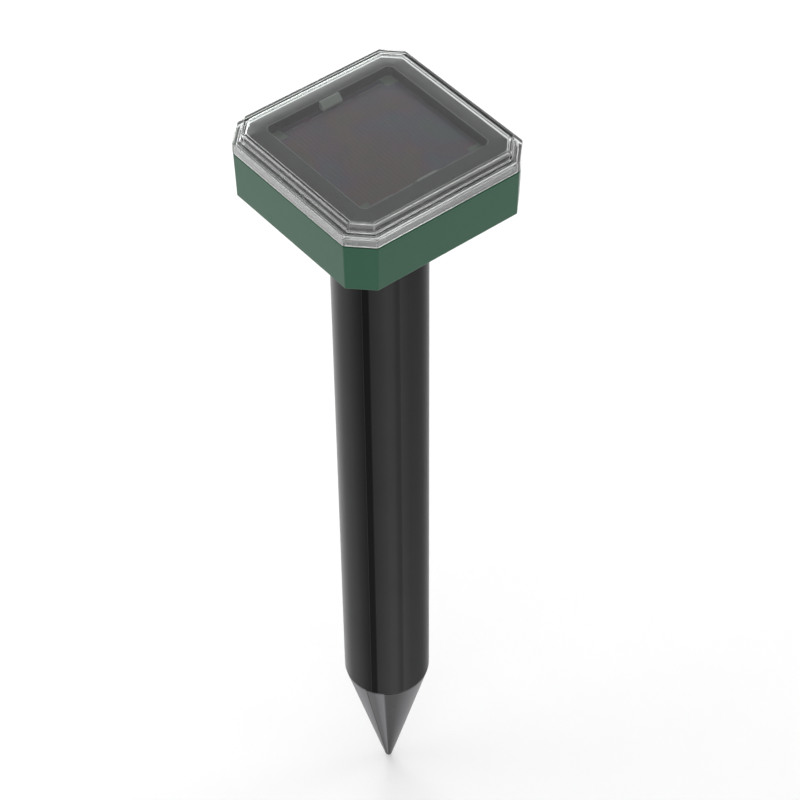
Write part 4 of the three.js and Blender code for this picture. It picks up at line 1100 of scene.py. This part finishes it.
def collar_parts(bore):
    """What stands out below the head's floor: collar round the tube, spigot and button's guard."""
    floor_inside = UNDERSIDE + SHELL_FLOOR / 2
    collar_inner = TUBE_RADIUS + 2 * SLIDE_GAP
    collar_outer = collar_inner + COLLAR_WALL
    collar_low = UNDERSIDE - COLLAR_DEPTH
    collar = turned([
        (collar_inner, collar_low, 0.4 * MM), (collar_outer, collar_low, 0.6 * MM),
        (collar_outer, floor_inside, 0), (collar_inner, floor_inside, 0),
    ], even_angles(96), closed=True, steps=3)
    guard_outer = BUTTON_RADIUS + SLIDE_GAP + GUARD_WALL
    guard = rod(0.0, BUTTON_Y, guard_outer, UNDERSIDE - GUARD_DEPTH, floor_inside, 48, 0.4 * MM)
    spigot_radius = TUBE_RADIUS - TUBE_WALL - SLIDE_GAP
    groove_low = O_RING_LEVEL - O_RING_GROOVE_HALF
    groove_high = O_RING_LEVEL + O_RING_GROOVE_HALF
    groove_floor = spigot_radius - O_RING_GROOVE_DEPTH
    spigot = turned([
        (bore, SPIGOT_BOTTOM, 0.2 * MM), (spigot_radius, SPIGOT_BOTTOM, 0.8 * MM),
        (spigot_radius, groove_low, 0.15 * MM), (groove_floor, groove_low, 0.15 * MM),
        (groove_floor, groove_high, 0.15 * MM), (spigot_radius, groove_high, 0.15 * MM),
        (spigot_radius, floor_inside, 0), (bore, floor_inside, 0),
    ], even_angles(96), closed=True, steps=3)
    return [collar, guard, spigot]


def make_housing(settings):
    floor_top = UNDERSIDE + SHELL_FLOOR
    low_half = HEAD_HALF - HEAD_DRAFT
    line = filleted([
        (low_half - 6 * MM, UNDERSIDE, 0),
        (low_half, UNDERSIDE, 0.7 * MM),
        (HEAD_HALF, RIM_TOP, 0.3 * MM),
        (HEAD_HALF - SHELL_WALL, RIM_TOP, 0.3 * MM),
        (low_half - SHELL_WALL, floor_top, 0.8 * MM),
        (low_half - SHELL_WALL - 5 * MM, floor_top, 0),
    ])
    housing = loose_object("housing", loft([head_ring(h, z, settings.corner_radius) for h, z in line]))
    bore = TUBE_RADIUS - TUBE_WALL - SLIDE_GAP - SPIGOT_WALL
    floor_middle = UNDERSIDE + SHELL_FLOOR / 2
    post_top = SPACER_BOTTOM - TRAY_WALL - 2.3 * MM
    posts = [rod(x, y, POST_RADIUS, floor_middle, post_top) for x, y in four_corners(SCREW_INSET)]
    carve(housing, collar_parts(bore) + posts, "UNION")
    head_seat = SCREW_LOW + SCREW_HEAD_HEIGHT + 0.3 * MM
    cuts = [rod(0.0, 0.0, bore, UNDERSIDE - MM, floor_top + MM, 96)]
    for x, y in four_corners(SCREW_INSET):
        cuts.append(rod(x, y, SHANK_HOLE, head_seat - MM, post_top + MM, 24))
    carve(housing, cuts, "DIFFERENCE")
    button_hole = BUTTON_RADIUS + SLIDE_GAP
    deep = [rod(0.0, BUTTON_Y, button_hole, UNDERSIDE - GUARD_DEPTH - MM, floor_top + MM, 48)]
    for x, y in four_corners(SCREW_INSET):
        deep.append(rod(x, y, SCREW_HEAD_RADIUS + 0.3 * MM, UNDERSIDE - MM, head_seat, 40))
    deep += side_blocks(HEAD_HALF - SHELL_WALL - 2 * MM, HEAD_HALF - SHELL_WALL + 0.7 * MM,
                        SNAP_LENGTH + MM, TONGUE_BOTTOM - 0.3 * MM, TONGUE_BOTTOM + 1.3 * MM, 0.0)
    carve(housing, deep, "DIFFERENCE")
    smooth(housing)
    return dress(housing, FINISHES["green_shell"], "head", ["head_housing"])


def make_lid_seal(settings):
    outer = SEAL_HALF
    inner = HEAD_HALF - SHELL_WALL + 0.1 * MM
    edge = 0.18 * MM
    line = filleted([
        (inner, SEAL_LOW, edge), (outer, SEAL_LOW, edge), (outer, SEAL_HIGH, edge), (inner, SEAL_HIGH, edge),
    ], closed=True, steps=3)
    rings = [head_ring(half, z, settings.corner_radius) for half, z in line]
    seal = loose_object("lid_seal", loft(rings, closed=True))
    smooth(seal)
    return dress(seal, FINISHES["seal_rubber"], "head", ["lid_gasket"])


def tray_rings(settings):
    """The tray's section from the recess floor, over the falling border, down outside and back under."""
    recess = PANEL_HALF + RECESS_GAP
    recess_floor = SPACER_BOTTOM - 0.1 * MM
    well_bottom = recess_floor - TRAY_WALL
    tray_half = LID_HALF - LID_SHELF - LID_WALL - TRAY_GAP
    flange_bottom = RIM_TOP + 0.6 * MM
    flange_top = flange_bottom + TRAY_FLANGE
    border_start = recess + 0.9 * MM
    border_end = tray_half - 0.5 * MM
    outer_leg = HEAD_LEG - (HEAD_HALF - tray_half) * OCTAGON_SHRINK
    recess_radius = 0.5 * MM

    def recess_ring(half, z):
        return cut_square(half, RECESS_LEG + (half - recess) * OCTAGON_SHRINK, recess_radius, z)

    inner_line = filleted([
        (recess - 1.5 * MM, recess_floor, 0), (recess, recess_floor, 0.4 * MM),
        (recess, TRAY_TOP, 0.25 * MM), (border_start, TRAY_TOP, 0),
    ])
    rings = [recess_ring(half, z) for half, z in inner_line]
    border_steps = 14
    start_leg = RECESS_LEG + (border_start - recess) * OCTAGON_SHRINK
    for i in range(1, border_steps + 1):
        share = i / border_steps
        half = border_start + (border_end - border_start) * share
        leg = start_leg + (outer_leg - start_leg) * share
        radius = recess_radius + (settings.corner_radius - recess_radius) * share
        rings.append(cut_square(half, leg, radius, TRAY_TOP - settings.tray_drop * share ** 2.2))
    edge_level = TRAY_TOP - settings.tray_drop
    ceiling = edge_level - TRAY_WALL
    outer_line = filleted([
        (border_end, edge_level, 0),
        (tray_half, edge_level - 0.35 * MM, 0.3 * MM),
        (tray_half, flange_top, 0.3 * MM),
        (TRAY_FLANGE_HALF, flange_top, 0.2 * MM),
        (TRAY_FLANGE_HALF, flange_bottom, 0.2 * MM),
        (tray_half - TRAY_WALL, flange_bottom, 0.2 * MM),
        (tray_half - TRAY_WALL, ceiling, 0.3 * MM),
        (recess + 3 * MM, ceiling, 0),
    ])[1:]
    rings += [head_ring(half, z, settings.corner_radius) for half, z in outer_line]
    under_line = filleted([
        (recess + 2 * MM, ceiling, 0), (recess + TRAY_WALL, ceiling, 0.1 * MM),
        (recess + TRAY_WALL, well_bottom, 0.5 * MM), (recess - 1.5 * MM, well_bottom, 0),
    ])
    return rings + [recess_ring(half, z) for half, z in under_line]


def make_tray(settings):
    tray = loose_object("tray", loft(tray_rings(settings)))
    bosses = [rod(x, y, 2.6 * MM, TRAY_LOW, TRAY_TOP - 2.2 * MM) for x, y in four_corners(SCREW_INSET)]
    carve(tray, bosses, "UNION")
    holes = [rod(x, y, 1.5 * MM, TRAY_LOW - MM, SCREW_HIGH + MM, 24) for x, y in four_corners(SCREW_INSET)]
    holes.append(rod(0.0, 0.0, 3.5 * MM, TRAY_LOW - MM, SPACER_BOTTOM + 0.5 * MM))
    carve(tray, holes, "DIFFERENCE")
    smooth(tray)
    return dress(tray, FINISHES["tray_plastic"], "head", ["panel_tray"])


def make_panel():
    leg = RECESS_LEG - RECESS_GAP * OCTAGON_SHRINK
    edge = 0.15 * MM
    line = filleted([
        (PANEL_HALF - 2 * MM, PANEL_BOTTOM, 0), (PANEL_HALF, PANEL_BOTTOM, edge),
        (PANEL_HALF, PANEL_TOP, edge), (PANEL_HALF - 2 * MM, PANEL_TOP, 0),
    ], steps=3)
    rings = []
    for half, z in line:
        shrink = (PANEL_HALF - half) * OCTAGON_SHRINK
        rings.append(cut_square(half, max(leg - shrink, 0.2 * MM), 0.2 * MM, z))
    panel = loose_object("panel", loft(rings))
    smooth(panel)
    return dress(panel, FINISHES["solar_cells"], "head", ["solar_panel"])


def make_fingers(settings):
    """The silver print on the cells: fine fingers, with a broken ribbon along two sides."""
    thickness = 0.03 * MM
    level = PANEL_TOP + thickness
    ribbon_x = PANEL_HALF - 3 * MM
    ribbons = []
    for side in (-1, 1):
        for y0, y1 in ((-24, -14), (-11, -1), (1.5, 9), (12, 23.5)):
            middle = side * ribbon_x
            ribbons.append(block(middle - 0.3 * MM, middle + 0.3 * MM, y0 * MM, y1 * MM,
                                 level - thickness / 2, level + thickness / 2))
    fingers = loose_object("panel_fingers", merged(ribbons))
    run_tree(fingers, silver_fingers_tree(), {
        "Count": settings.finger_count, "Span": 48 * MM, "Finger Length": 2 * ribbon_x - 1.2 * MM,
        "Thickness": thickness, "Level": level, "Material": FINISHES["finger_silver"],
    })
    return dress(fingers, FINISHES["finger_silver"], "head", [])


def make_clip(name, side):
    """A sprung tab from the recess wall that slopes down on to the panel's edge."""
    node_low, node_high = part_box(name)
    wall_x = PANEL_HALF + RECESS_GAP - 0.1 * MM
    reach = CLIP_REACH
    foot = node_low.z
    outline = filleted([
        (wall_x, foot, 0.1 * MM),
        (wall_x - reach, foot, 0.25 * MM),
        (wall_x - reach, foot + 1.1 * MM, 0.45 * MM),
        (wall_x - 0.9 * MM, node_high.z, 0.5 * MM),
        (wall_x, node_high.z, 0.2 * MM),
    ], closed=True, steps=4)
    half = (node_high.y - node_low.y) / 2
    soft = 0.35 * MM
    middle = Vector((wall_x - reach / 2, (foot + node_high.z) / 2))
    rings = []
    for y, shrink in ((-half, 0.9), (-half + soft, 1.0), (half - soft, 1.0), (half, 0.9)):
        points = [middle + (p - middle) * shrink for p in outline]
        rings.append([Vector((side * p.x, y, p.y)) for p in points])
    tab = loft(rings)
    barb = block(side * (wall_x - 0.8 * MM), side * node_high.x if side > 0 else node_low.x,
                 -2.9 * MM, 2.9 * MM, foot + 0.6 * MM, foot + 2.2 * MM, 0.1 * MM)
    clip = loose_object(name.replace("panel_clip", "clip"), tab)
    bmesh.ops.recalc_face_normals(barb, faces=barb.faces)
    carve(clip, [barb], "UNION")
    smooth(clip)
    return dress(clip, FINISHES["clip_plastic"], "head", [name])


# ------------------------------------------------------------------ the stake's pieces


def seam_angles(seam, count=96):
    """Directions round the stake, closer together beside each parting line."""
    angles = set(even_angles(count))
    for base in (seam, seam + math.pi):
        for k in range(-9, 10):
            angles.add((base + math.radians(0.32 * k)) % (2 * math.pi))
    ordered = []
    for angle in sorted(angles):
        if not ordered or angle - ordered[-1] > math.radians(0.05):
            ordered.append(angle)
    return ordered


def mark_skin(piece, is_skin):
    """Writes the Skin attribute: 1 on the vertices that the test accepts."""
    attribute = piece.data.attributes.new("Skin", "FLOAT", "POINT")
    for i, vertex in enumerate(piece.data.vertices):
        attribute.data[i].value = 1.0 if is_skin(vertex.co) else 0.0


def add_ridges(piece, seam_angle, height, half_width, finish):
    run_tree(piece, parting_ridge_tree(), {
        "Angle": seam_angle, "Height": height, "Half Width": half_width, "Material": FINISHES[finish],
    })


def make_tube(settings):
    bore = TUBE_RADIUS - TUBE_WALL
    edge = 0.35 * MM
    tube = loose_object("tube", turned([
        (bore, TUBE_BOTTOM, edge), (TUBE_RADIUS, TUBE_BOTTOM, 2 * edge),
        (TUBE_RADIUS, TUBE_TOP, edge), (bore, TUBE_TOP, edge),
    ], seam_angles(settings.tube_seam), closed=True, steps=3))
    mark_skin(tube, lambda co: co.xy.length > TUBE_RADIUS - 0.05 * MM)
    add_ridges(tube, settings.tube_seam, settings.ridge_height, settings.ridge_width, "black_tube")
    smooth(tube, 60)
    return dress(tube, FINISHES["black_tube"], "stake", ["stake_tube"])


STEP_HEIGHT = 8 * MM  # the fine step round the tip, above its point
STEP_OUT = 0.12 * MM
HOLLOW_END = 2 * MM  # radius at which the tip's hollow stops


def make_tip(settings):
    shoulder = TUBE_BOTTOM - SLIDE_GAP
    radius = TUBE_RADIUS - TIP_SHOULDER
    nose = TIP_POINT + NOSE_RADIUS
    height = shoulder - nose
    lean = math.acos(NOSE_RADIUS / math.hypot(radius, height)) - math.atan2(height, radius)
    plug = TUBE_RADIUS - TUBE_WALL - 0.1 * MM
    bore = plug - PLUG_WALL
    line = []
    nose_steps = 8
    for i in range(1, nose_steps + 1):
        angle = -math.pi / 2 + (math.pi / 2 - lean) * i / nose_steps
        line.append((NOSE_RADIUS * math.cos(angle), nose + NOSE_RADIUS * math.sin(angle)))
    step_level = TIP_POINT + STEP_HEIGHT
    slope = (radius - line[-1][0]) / (shoulder - line[-1][1])
    step_radius = line[-1][0] + slope * (step_level - line[-1][1])
    line += [(step_radius, step_level), (step_radius + STEP_OUT, step_level + 0.15 * MM)]
    line += filleted([
        (step_radius + STEP_OUT, step_level + 0.2 * MM, 0),
        (radius, shoulder, 0.3 * MM),
        (plug, shoulder, 0.2 * MM),
        (plug, TIP_PLUG_TOP, 0.5 * MM),
        (bore, TIP_PLUG_TOP, 0.3 * MM),
        (bore, shoulder, MM),
        (HOLLOW_END, shoulder - (bore - HOLLOW_END) / slope, 0),
    ])
    angles = seam_angles(settings.tip_seam)
    tip = loose_object("tip", loft([ring_round(r, z, angles) for r, z in line]))
    skin_limit = shoulder + 0.01 * MM
    inner_slope = 1 / slope
    mark_skin(tip, lambda co: (nose < co.z < skin_limit
                               and co.xy.length > bore - (shoulder - co.z) / inner_slope + 0.3 * MM))
    add_ridges(tip, settings.tip_seam, -settings.ridge_height, settings.ridge_width, "grey_tip")
    smooth(tip, 50)
    return dress(tip, FINISHES["grey_tip"], "stake", ["stake_tip"])


def make_o_ring():
    half = high("spigot_o_ring").z - O_RING_LEVEL
    inner = TUBE_RADIUS - TUBE_WALL - SLIDE_GAP - O_RING_GROOVE_DEPTH + 0.1 * MM
    middle = (inner + O_RING_RADIUS) / 2
    thick = (O_RING_RADIUS - inner) / 2
    section = [(middle + thick * math.cos(a), O_RING_LEVEL + half * math.sin(a)) for a in even_angles(14)]
    ring = loose_object("o_ring", loft([ring_round(r, z, even_angles(96)) for r, z in section], closed=True))
    smooth(ring, 80)
    return dress(ring, FINISHES["seal_rubber"], "seal", ["spigot_o_ring"])


# ------------------------------------------------------------------ small parts under the head


def make_screws():
    """Four long thread-forming screws with cross-recessed pan heads, heads down."""
    head_top = SCREW_LOW + SCREW_HEAD_HEIGHT
    core = SHANK_RADIUS - 0.28 * MM
    pitch = 1.15 * MM
    profile = [
        (SCREW_HEAD_RADIUS * 0.3, SCREW_LOW, 0), (SCREW_HEAD_RADIUS * 0.72, SCREW_LOW, 0.5 * MM),
        (SCREW_HEAD_RADIUS, SCREW_LOW + 0.9 * MM, 0.4 * MM), (SCREW_HEAD_RADIUS, head_top, 0.15 * MM),
        (SHANK_RADIUS, head_top, 0.2 * MM), (core, head_top + 1.5 * MM, 0),
    ]
    level = head_top + 2 * MM
    while level + pitch < SCREW_HIGH - 2 * MM:
        profile += [
            (core, level, 0), (SHANK_RADIUS, level + 0.42 * pitch, 0), (core, level + 0.84 * pitch, 0),
        ]
        level += pitch
    profile += [(core, SCREW_HIGH - 1.8 * MM, 0), (0.25 * MM, SCREW_HIGH, 0)]
    screws = loose_object("case_screws", turned(profile, even_angles(28), steps=3))
    reach = SCREW_HEAD_RADIUS * 0.56
    slot = 0.36 * MM
    depth = SCREW_LOW + 1.05 * MM
    cross = [
        block(-reach, reach, -slot, slot, SCREW_LOW - MM, depth),
        block(-slot, slot, -reach, reach, SCREW_LOW - MM, depth),
    ]
    for arm in cross:
        carve(screws, [arm], "DIFFERENCE")
    run_tree(screws, corner_copies_tree(), {
        "Spread": SCREW_INSET, "Seed": 7, "Material": FINISHES["screw_steel"],
    })
    smooth(screws, 40)
    corners = ("front_right", "back_right", "back_left", "front_left")
    replaced = [f"case_screw_{corner}" for corner in corners]
    return dress(screws, FINISHES["screw_steel"], "head", replaced)


def make_button():
    """A soft cap with two fine rings moulded in its face."""
    hub = 0.5 * MM
    socket_radius = 1.7 * MM
    socket_floor = low("button_plunger").z - 0.2 * MM
    face = BUTTON_LOW + 0.1 * MM
    groove = BUTTON_LOW + 0.3 * MM
    soft = 0.05 * MM
    profile = [(hub, face, 0)]
    for middle in (1.3 * MM, 2.3 * MM):
        for offset, level in ((-0.3, face), (-0.15, groove), (0.15, groove), (0.3, face)):
            profile.append((middle + offset * MM, level, soft))
    profile += [
        (BUTTON_RADIUS * 0.82, BUTTON_LOW + 0.2 * MM, 0.5 * MM),
        (BUTTON_RADIUS, BUTTON_LOW + 1.3 * MM, 0.5 * MM),
        (BUTTON_RADIUS, BUTTON_HIGH, 0.2 * MM),
        (socket_radius, BUTTON_HIGH, 0.1 * MM),
        (socket_radius, socket_floor, 0.1 * MM),
        (hub, socket_floor, 0),
    ]
    cap = loose_object("button", turned(profile, even_angles(48), (0.0, BUTTON_Y), steps=2))
    smooth(cap)
    return dress(cap, FINISHES["button_rubber"], "button", ["button_cap"])


def make_grille(settings):
    plate_top = GRILLE_LOW + 1.6 * MM
    wall = 1.4 * MM
    grille = loose_object("grille", turned([
        (1.6 * MM, GRILLE_LOW, 0.2 * MM), (GRILLE_RADIUS, GRILLE_LOW, 0.5 * MM),
        (GRILLE_RADIUS, GRILLE_HIGH, 0.2 * MM), (GRILLE_RADIUS - wall, GRILLE_HIGH, 0.2 * MM),
        (GRILLE_RADIUS - wall, plate_top, 0.3 * MM), (1.6 * MM, plate_top, 0.2 * MM),
    ], even_angles(96), closed=True, steps=3))
    outer = GRILLE_RADIUS - 3.2 * MM
    inner = 4 * MM
    run_tree(grille, ring_of_slots_tree(), {
        "Count": settings.slot_count, "Middle Radius": (outer + inner) / 2, "Length": outer - inner,
        "Width": 1.8 * MM, "Level": (GRILLE_LOW + plate_top) / 2, "Depth": 4 * MM,
        "Material": FINISHES["tray_plastic"],
    })
    smooth(grille)
    return dress(grille, FINISHES["tray_plastic"], "head", ["sounder_grille"])


def paint_inner_parts():
    """Gives every solid that still shows the finish of its own slot."""
    for row in frame["record"]["subparts"]:
        solid = NODES[row["node"]]
        if solid.hide_render:
            continue
        solid.data.materials.clear()
        solid.data.materials.append(FINISHES[row["material_slot"]])


# ------------------------------------------------------------------ studio

CAMERA_AZIMUTH = math.radians(51.644)
CAMERA_ELEVATION = math.radians(45.844)
CAMERA_ROLL = math.radians(-0.631)
CAMERA_DISTANCE = 935.1 * MM
CAMERA_ACROSS = -8.62 * MM  # where the head's middle lies from the view's middle, at the camera's distance
CAMERA_UP = 95.37 * MM
CAMERA_LENS = 109.84


def add_camera():
    turn, rise = CAMERA_AZIMUTH, CAMERA_ELEVATION
    back = Vector((math.sin(turn) * math.cos(rise), -math.cos(turn) * math.cos(rise), math.sin(rise)))
    level = Vector((math.cos(turn), math.sin(turn), 0.0))
    upward = back.cross(level)
    right = math.cos(CAMERA_ROLL) * level + math.sin(CAMERA_ROLL) * upward
    up = -math.sin(CAMERA_ROLL) * level + math.cos(CAMERA_ROLL) * upward
    place = Vector((0, 0, LID_BOTTOM)) + back * CAMERA_DISTANCE - right * CAMERA_ACROSS - up * CAMERA_UP
    lens = bpy.data.cameras.new("View")
    lens.lens = CAMERA_LENS
    lens.sensor_width = 36.0
    lens.clip_start = 0.01
    lens.clip_end = 50.0
    camera = bpy.data.objects.new("View", lens)
    camera.matrix_world = Matrix.Translation(place) @ Matrix((right, up, back)).transposed().to_4x4()
    bpy.context.scene.collection.objects.link(camera)
    bpy.context.scene.camera = camera


def add_floor(settings):
    bm = bmesh.new()
    bmesh.ops.create_circle(bm, cap_ends=True, segments=128, radius=8.0)
    bmesh.ops.translate(bm, vec=(0, 0, TIP_POINT - 0.3 * MM), verts=bm.verts)
    floor = loose_object("floor", bm)
    floor.data.materials.append(moulded("Studio Floor", settings.floor_white, 0.7, grain=300.0,
                                        depth=0.00002, tone=0.01))


OBJECT_MIDDLE = (0.0, 0.0, -0.1)
# each light's name, place, target, width, height and the setting that holds its power
LIGHTS = (
    ("Overhead", (0.0, 0.0, 2.2), OBJECT_MIDDLE, 2.4, 2.4, "overhead_power"),
    ("Key", (-1.15, -1.55, 0.8), OBJECT_MIDDLE, 0.9, 0.5, "key_power"),
    ("Front", (1.5, -1.4, 0.75), OBJECT_MIDDLE, 3.0, 1.6, "front_power"),
    ("Back Left", (-2.1, 0.8, 0.68), OBJECT_MIDDLE, 2.2, 1.1, "back_power"),
    ("Back Right", (0.6, 2.0, 0.62), OBJECT_MIDDLE, 0.8, 0.8, "rim_power"),
    ("Floor Wash", (-0.42, -0.34, 0.16), (-0.42, -0.34, -0.34), 0.6, 0.6, "wash_power"),
)


def add_area_light(name, place, target, width, height, power):
    lamp = bpy.data.lights.new(name, "AREA")
    lamp.shape = "RECTANGLE"
    lamp.size = width
    lamp.size_y = height
    lamp.energy = power
    light = bpy.data.objects.new(name, lamp)
    light.location = place
    light.rotation_euler = (Vector(target) - Vector(place)).to_track_quat("-Z", "Y").to_euler()
    bpy.context.scene.collection.objects.link(light)


def add_surroundings(settings):
    """Even white surroundings, brighter towards the horizon than overhead."""
    world = bpy.data.worlds.new("Surroundings")
    world.use_nodes = True
    bpy.context.scene.world = world
    tree = world.node_tree
    background = tree.nodes["Background"]
    background.inputs["Color"].default_value = (1.0, 1.0, 1.0, 1.0)
    direction = add_node(tree, "ShaderNodeNewGeometry").outputs["Incoming"]
    height = add_node(tree, "ShaderNodeSeparateXYZ", {"Vector": direction}).outputs["Z"]
    upward = maths(tree, "MULTIPLY", height, -1.0)
    feed(tree, background.inputs["Strength"],
         remap(tree, upward, 0.1, 0.9, settings.sky_low, settings.sky_high, smooth_steps=True))


# ------------------------------------------------------------------ operators and panel


class STAKE_OT_studio(bpy.types.Operator):
    """Adds the camera, the pale floor, the surroundings and the soft lights"""

    bl_idname = "stake.studio"
    bl_label = "Studio"

    def execute(self, context):
        settings = context.scene.stake_studio
        add_camera()
        add_floor(settings)
        add_surroundings(settings)
        for name, place, target, width, height, power in LIGHTS:
            add_area_light(name, place, target, width, height, getattr(settings, power))
        context.scene.view_settings.view_transform = "Standard"
        return {"FINISHED"}


class STAKE_OT_finishes(bpy.types.Operator):
    """Builds the shader groups and every material of the part"""

    bl_idname = "stake.finishes"
    bl_label = "Finishes"

    def execute(self, context):
        build_groups()
        build_finishes(context.scene.stake_head, context.scene.stake_stake)
        FINISHES["finger_silver"] = moulded("Finger Silver", (0.12, 0.12, 0.12), 0.35, metallic=0.6, tone=0.2)
        return {"FINISHED"}


class STAKE_OT_lid(bpy.types.Operator):
    """Makes the clear lid with its flange, raised top and tongue, and the seal under it"""

    bl_idname = "stake.lid"
    bl_label = "Clear Lid"

    def execute(self, context):
        make_lid(context.scene.stake_head)
        make_lid_seal(context.scene.stake_head)
        return {"FINISHED"}


class STAKE_OT_housing(bpy.types.Operator):
    """Makes the green housing with its collar, spigot, screw posts and button guard"""

    bl_idname = "stake.housing"
    bl_label = "Housing"

    def execute(self, context):
        make_housing(context.scene.stake_head)
        return {"FINISHED"}


class STAKE_OT_tray(bpy.types.Operator):
    """Makes the tray round the solar panel and the two clips that hold the panel down"""

    bl_idname = "stake.tray"
    bl_label = "Tray and Clips"

    def execute(self, context):
        make_tray(context.scene.stake_head)
        make_clip("panel_clip_right", 1)
        make_clip("panel_clip_left", -1)
        return {"FINISHED"}


class STAKE_OT_panel(bpy.types.Operator):
    """Makes the solar panel and its printed silver fingers"""

    bl_idname = "stake.panel"
    bl_label = "Solar Panel"

    def execute(self, context):
        make_panel()
        make_fingers(context.scene.stake_head)
        return {"FINISHED"}


class STAKE_OT_stake(bpy.types.Operator):
    """Makes the tube and the pointed tip with their parting ridges"""

    bl_idname = "stake.stake"
    bl_label = "Tube and Tip"

    def execute(self, context):
        make_tube(context.scene.stake_stake)
        make_tip(context.scene.stake_stake)
        return {"FINISHED"}


class STAKE_OT_small_parts(bpy.types.Operator):
    """Makes the case screws, the button's cap, the spigot's ring and the sounder's grille"""

    bl_idname = "stake.small_parts"
    bl_label = "Small Parts"

    def execute(self, context):
        make_screws()
        make_button()
        make_o_ring()
        make_grille(context.scene.stake_head)
        return {"FINISHED"}


class STAKE_OT_inner_parts(bpy.types.Operator):
    """Gives the electronics, the cell, the sounder and the leads their finishes"""

    bl_idname = "stake.inner_parts"
    bl_label = "Inner Parts"

    def execute(self, context):
        paint_inner_parts()
        return {"FINISHED"}


OPERATORS = (
    STAKE_OT_finishes,
    STAKE_OT_studio,
    STAKE_OT_lid,
    STAKE_OT_housing,
    STAKE_OT_tray,
    STAKE_OT_panel,
    STAKE_OT_stake,
    STAKE_OT_small_parts,
    STAKE_OT_inner_parts,
)


class STAKE_PT_panel(bpy.types.Panel):
    """Buttons for each group of pieces, with the sizes and colours they use"""

    bl_idname = "STAKE_PT_panel"
    bl_label = "Solar Ground Stake"
    bl_space_type = "VIEW_3D"
    bl_region_type = "UI"
    bl_category = "Stake"

    def draw(self, context):
        layout = self.layout
        for operator in OPERATORS:
            layout.operator(operator.bl_idname)
        for settings in (context.scene.stake_head, context.scene.stake_stake, context.scene.stake_studio):
            box = layout.box()
            for name in settings.bl_rna.properties.keys():
                if name not in {"rna_type", "name"}:
                    box.prop(settings, name)


SETTINGS = (HeadSettings, StakeSettings, StudioSettings)


def register():
    for cls in SETTINGS + OPERATORS + (STAKE_PT_panel,):
        bpy.utils.register_class(cls)
    bpy.types.Scene.stake_head = PointerProperty(type=HeadSettings)
    bpy.types.Scene.stake_stake = PointerProperty(type=StakeSettings)
    bpy.types.Scene.stake_studio = PointerProperty(type=StudioSettings)


def unregister():
    del bpy.types.Scene.stake_studio
    del bpy.types.Scene.stake_stake
    del bpy.types.Scene.stake_head
    for cls in reversed(SETTINGS + OPERATORS + (STAKE_PT_panel,)):
        bpy.utils.unregister_class(cls)


def main():
    register()
    for operator in OPERATORS:
        group, name = operator.bl_idname.split(".")
        getattr(getattr(bpy.ops, group), name)()


if __name__ == "__main__":
    main()
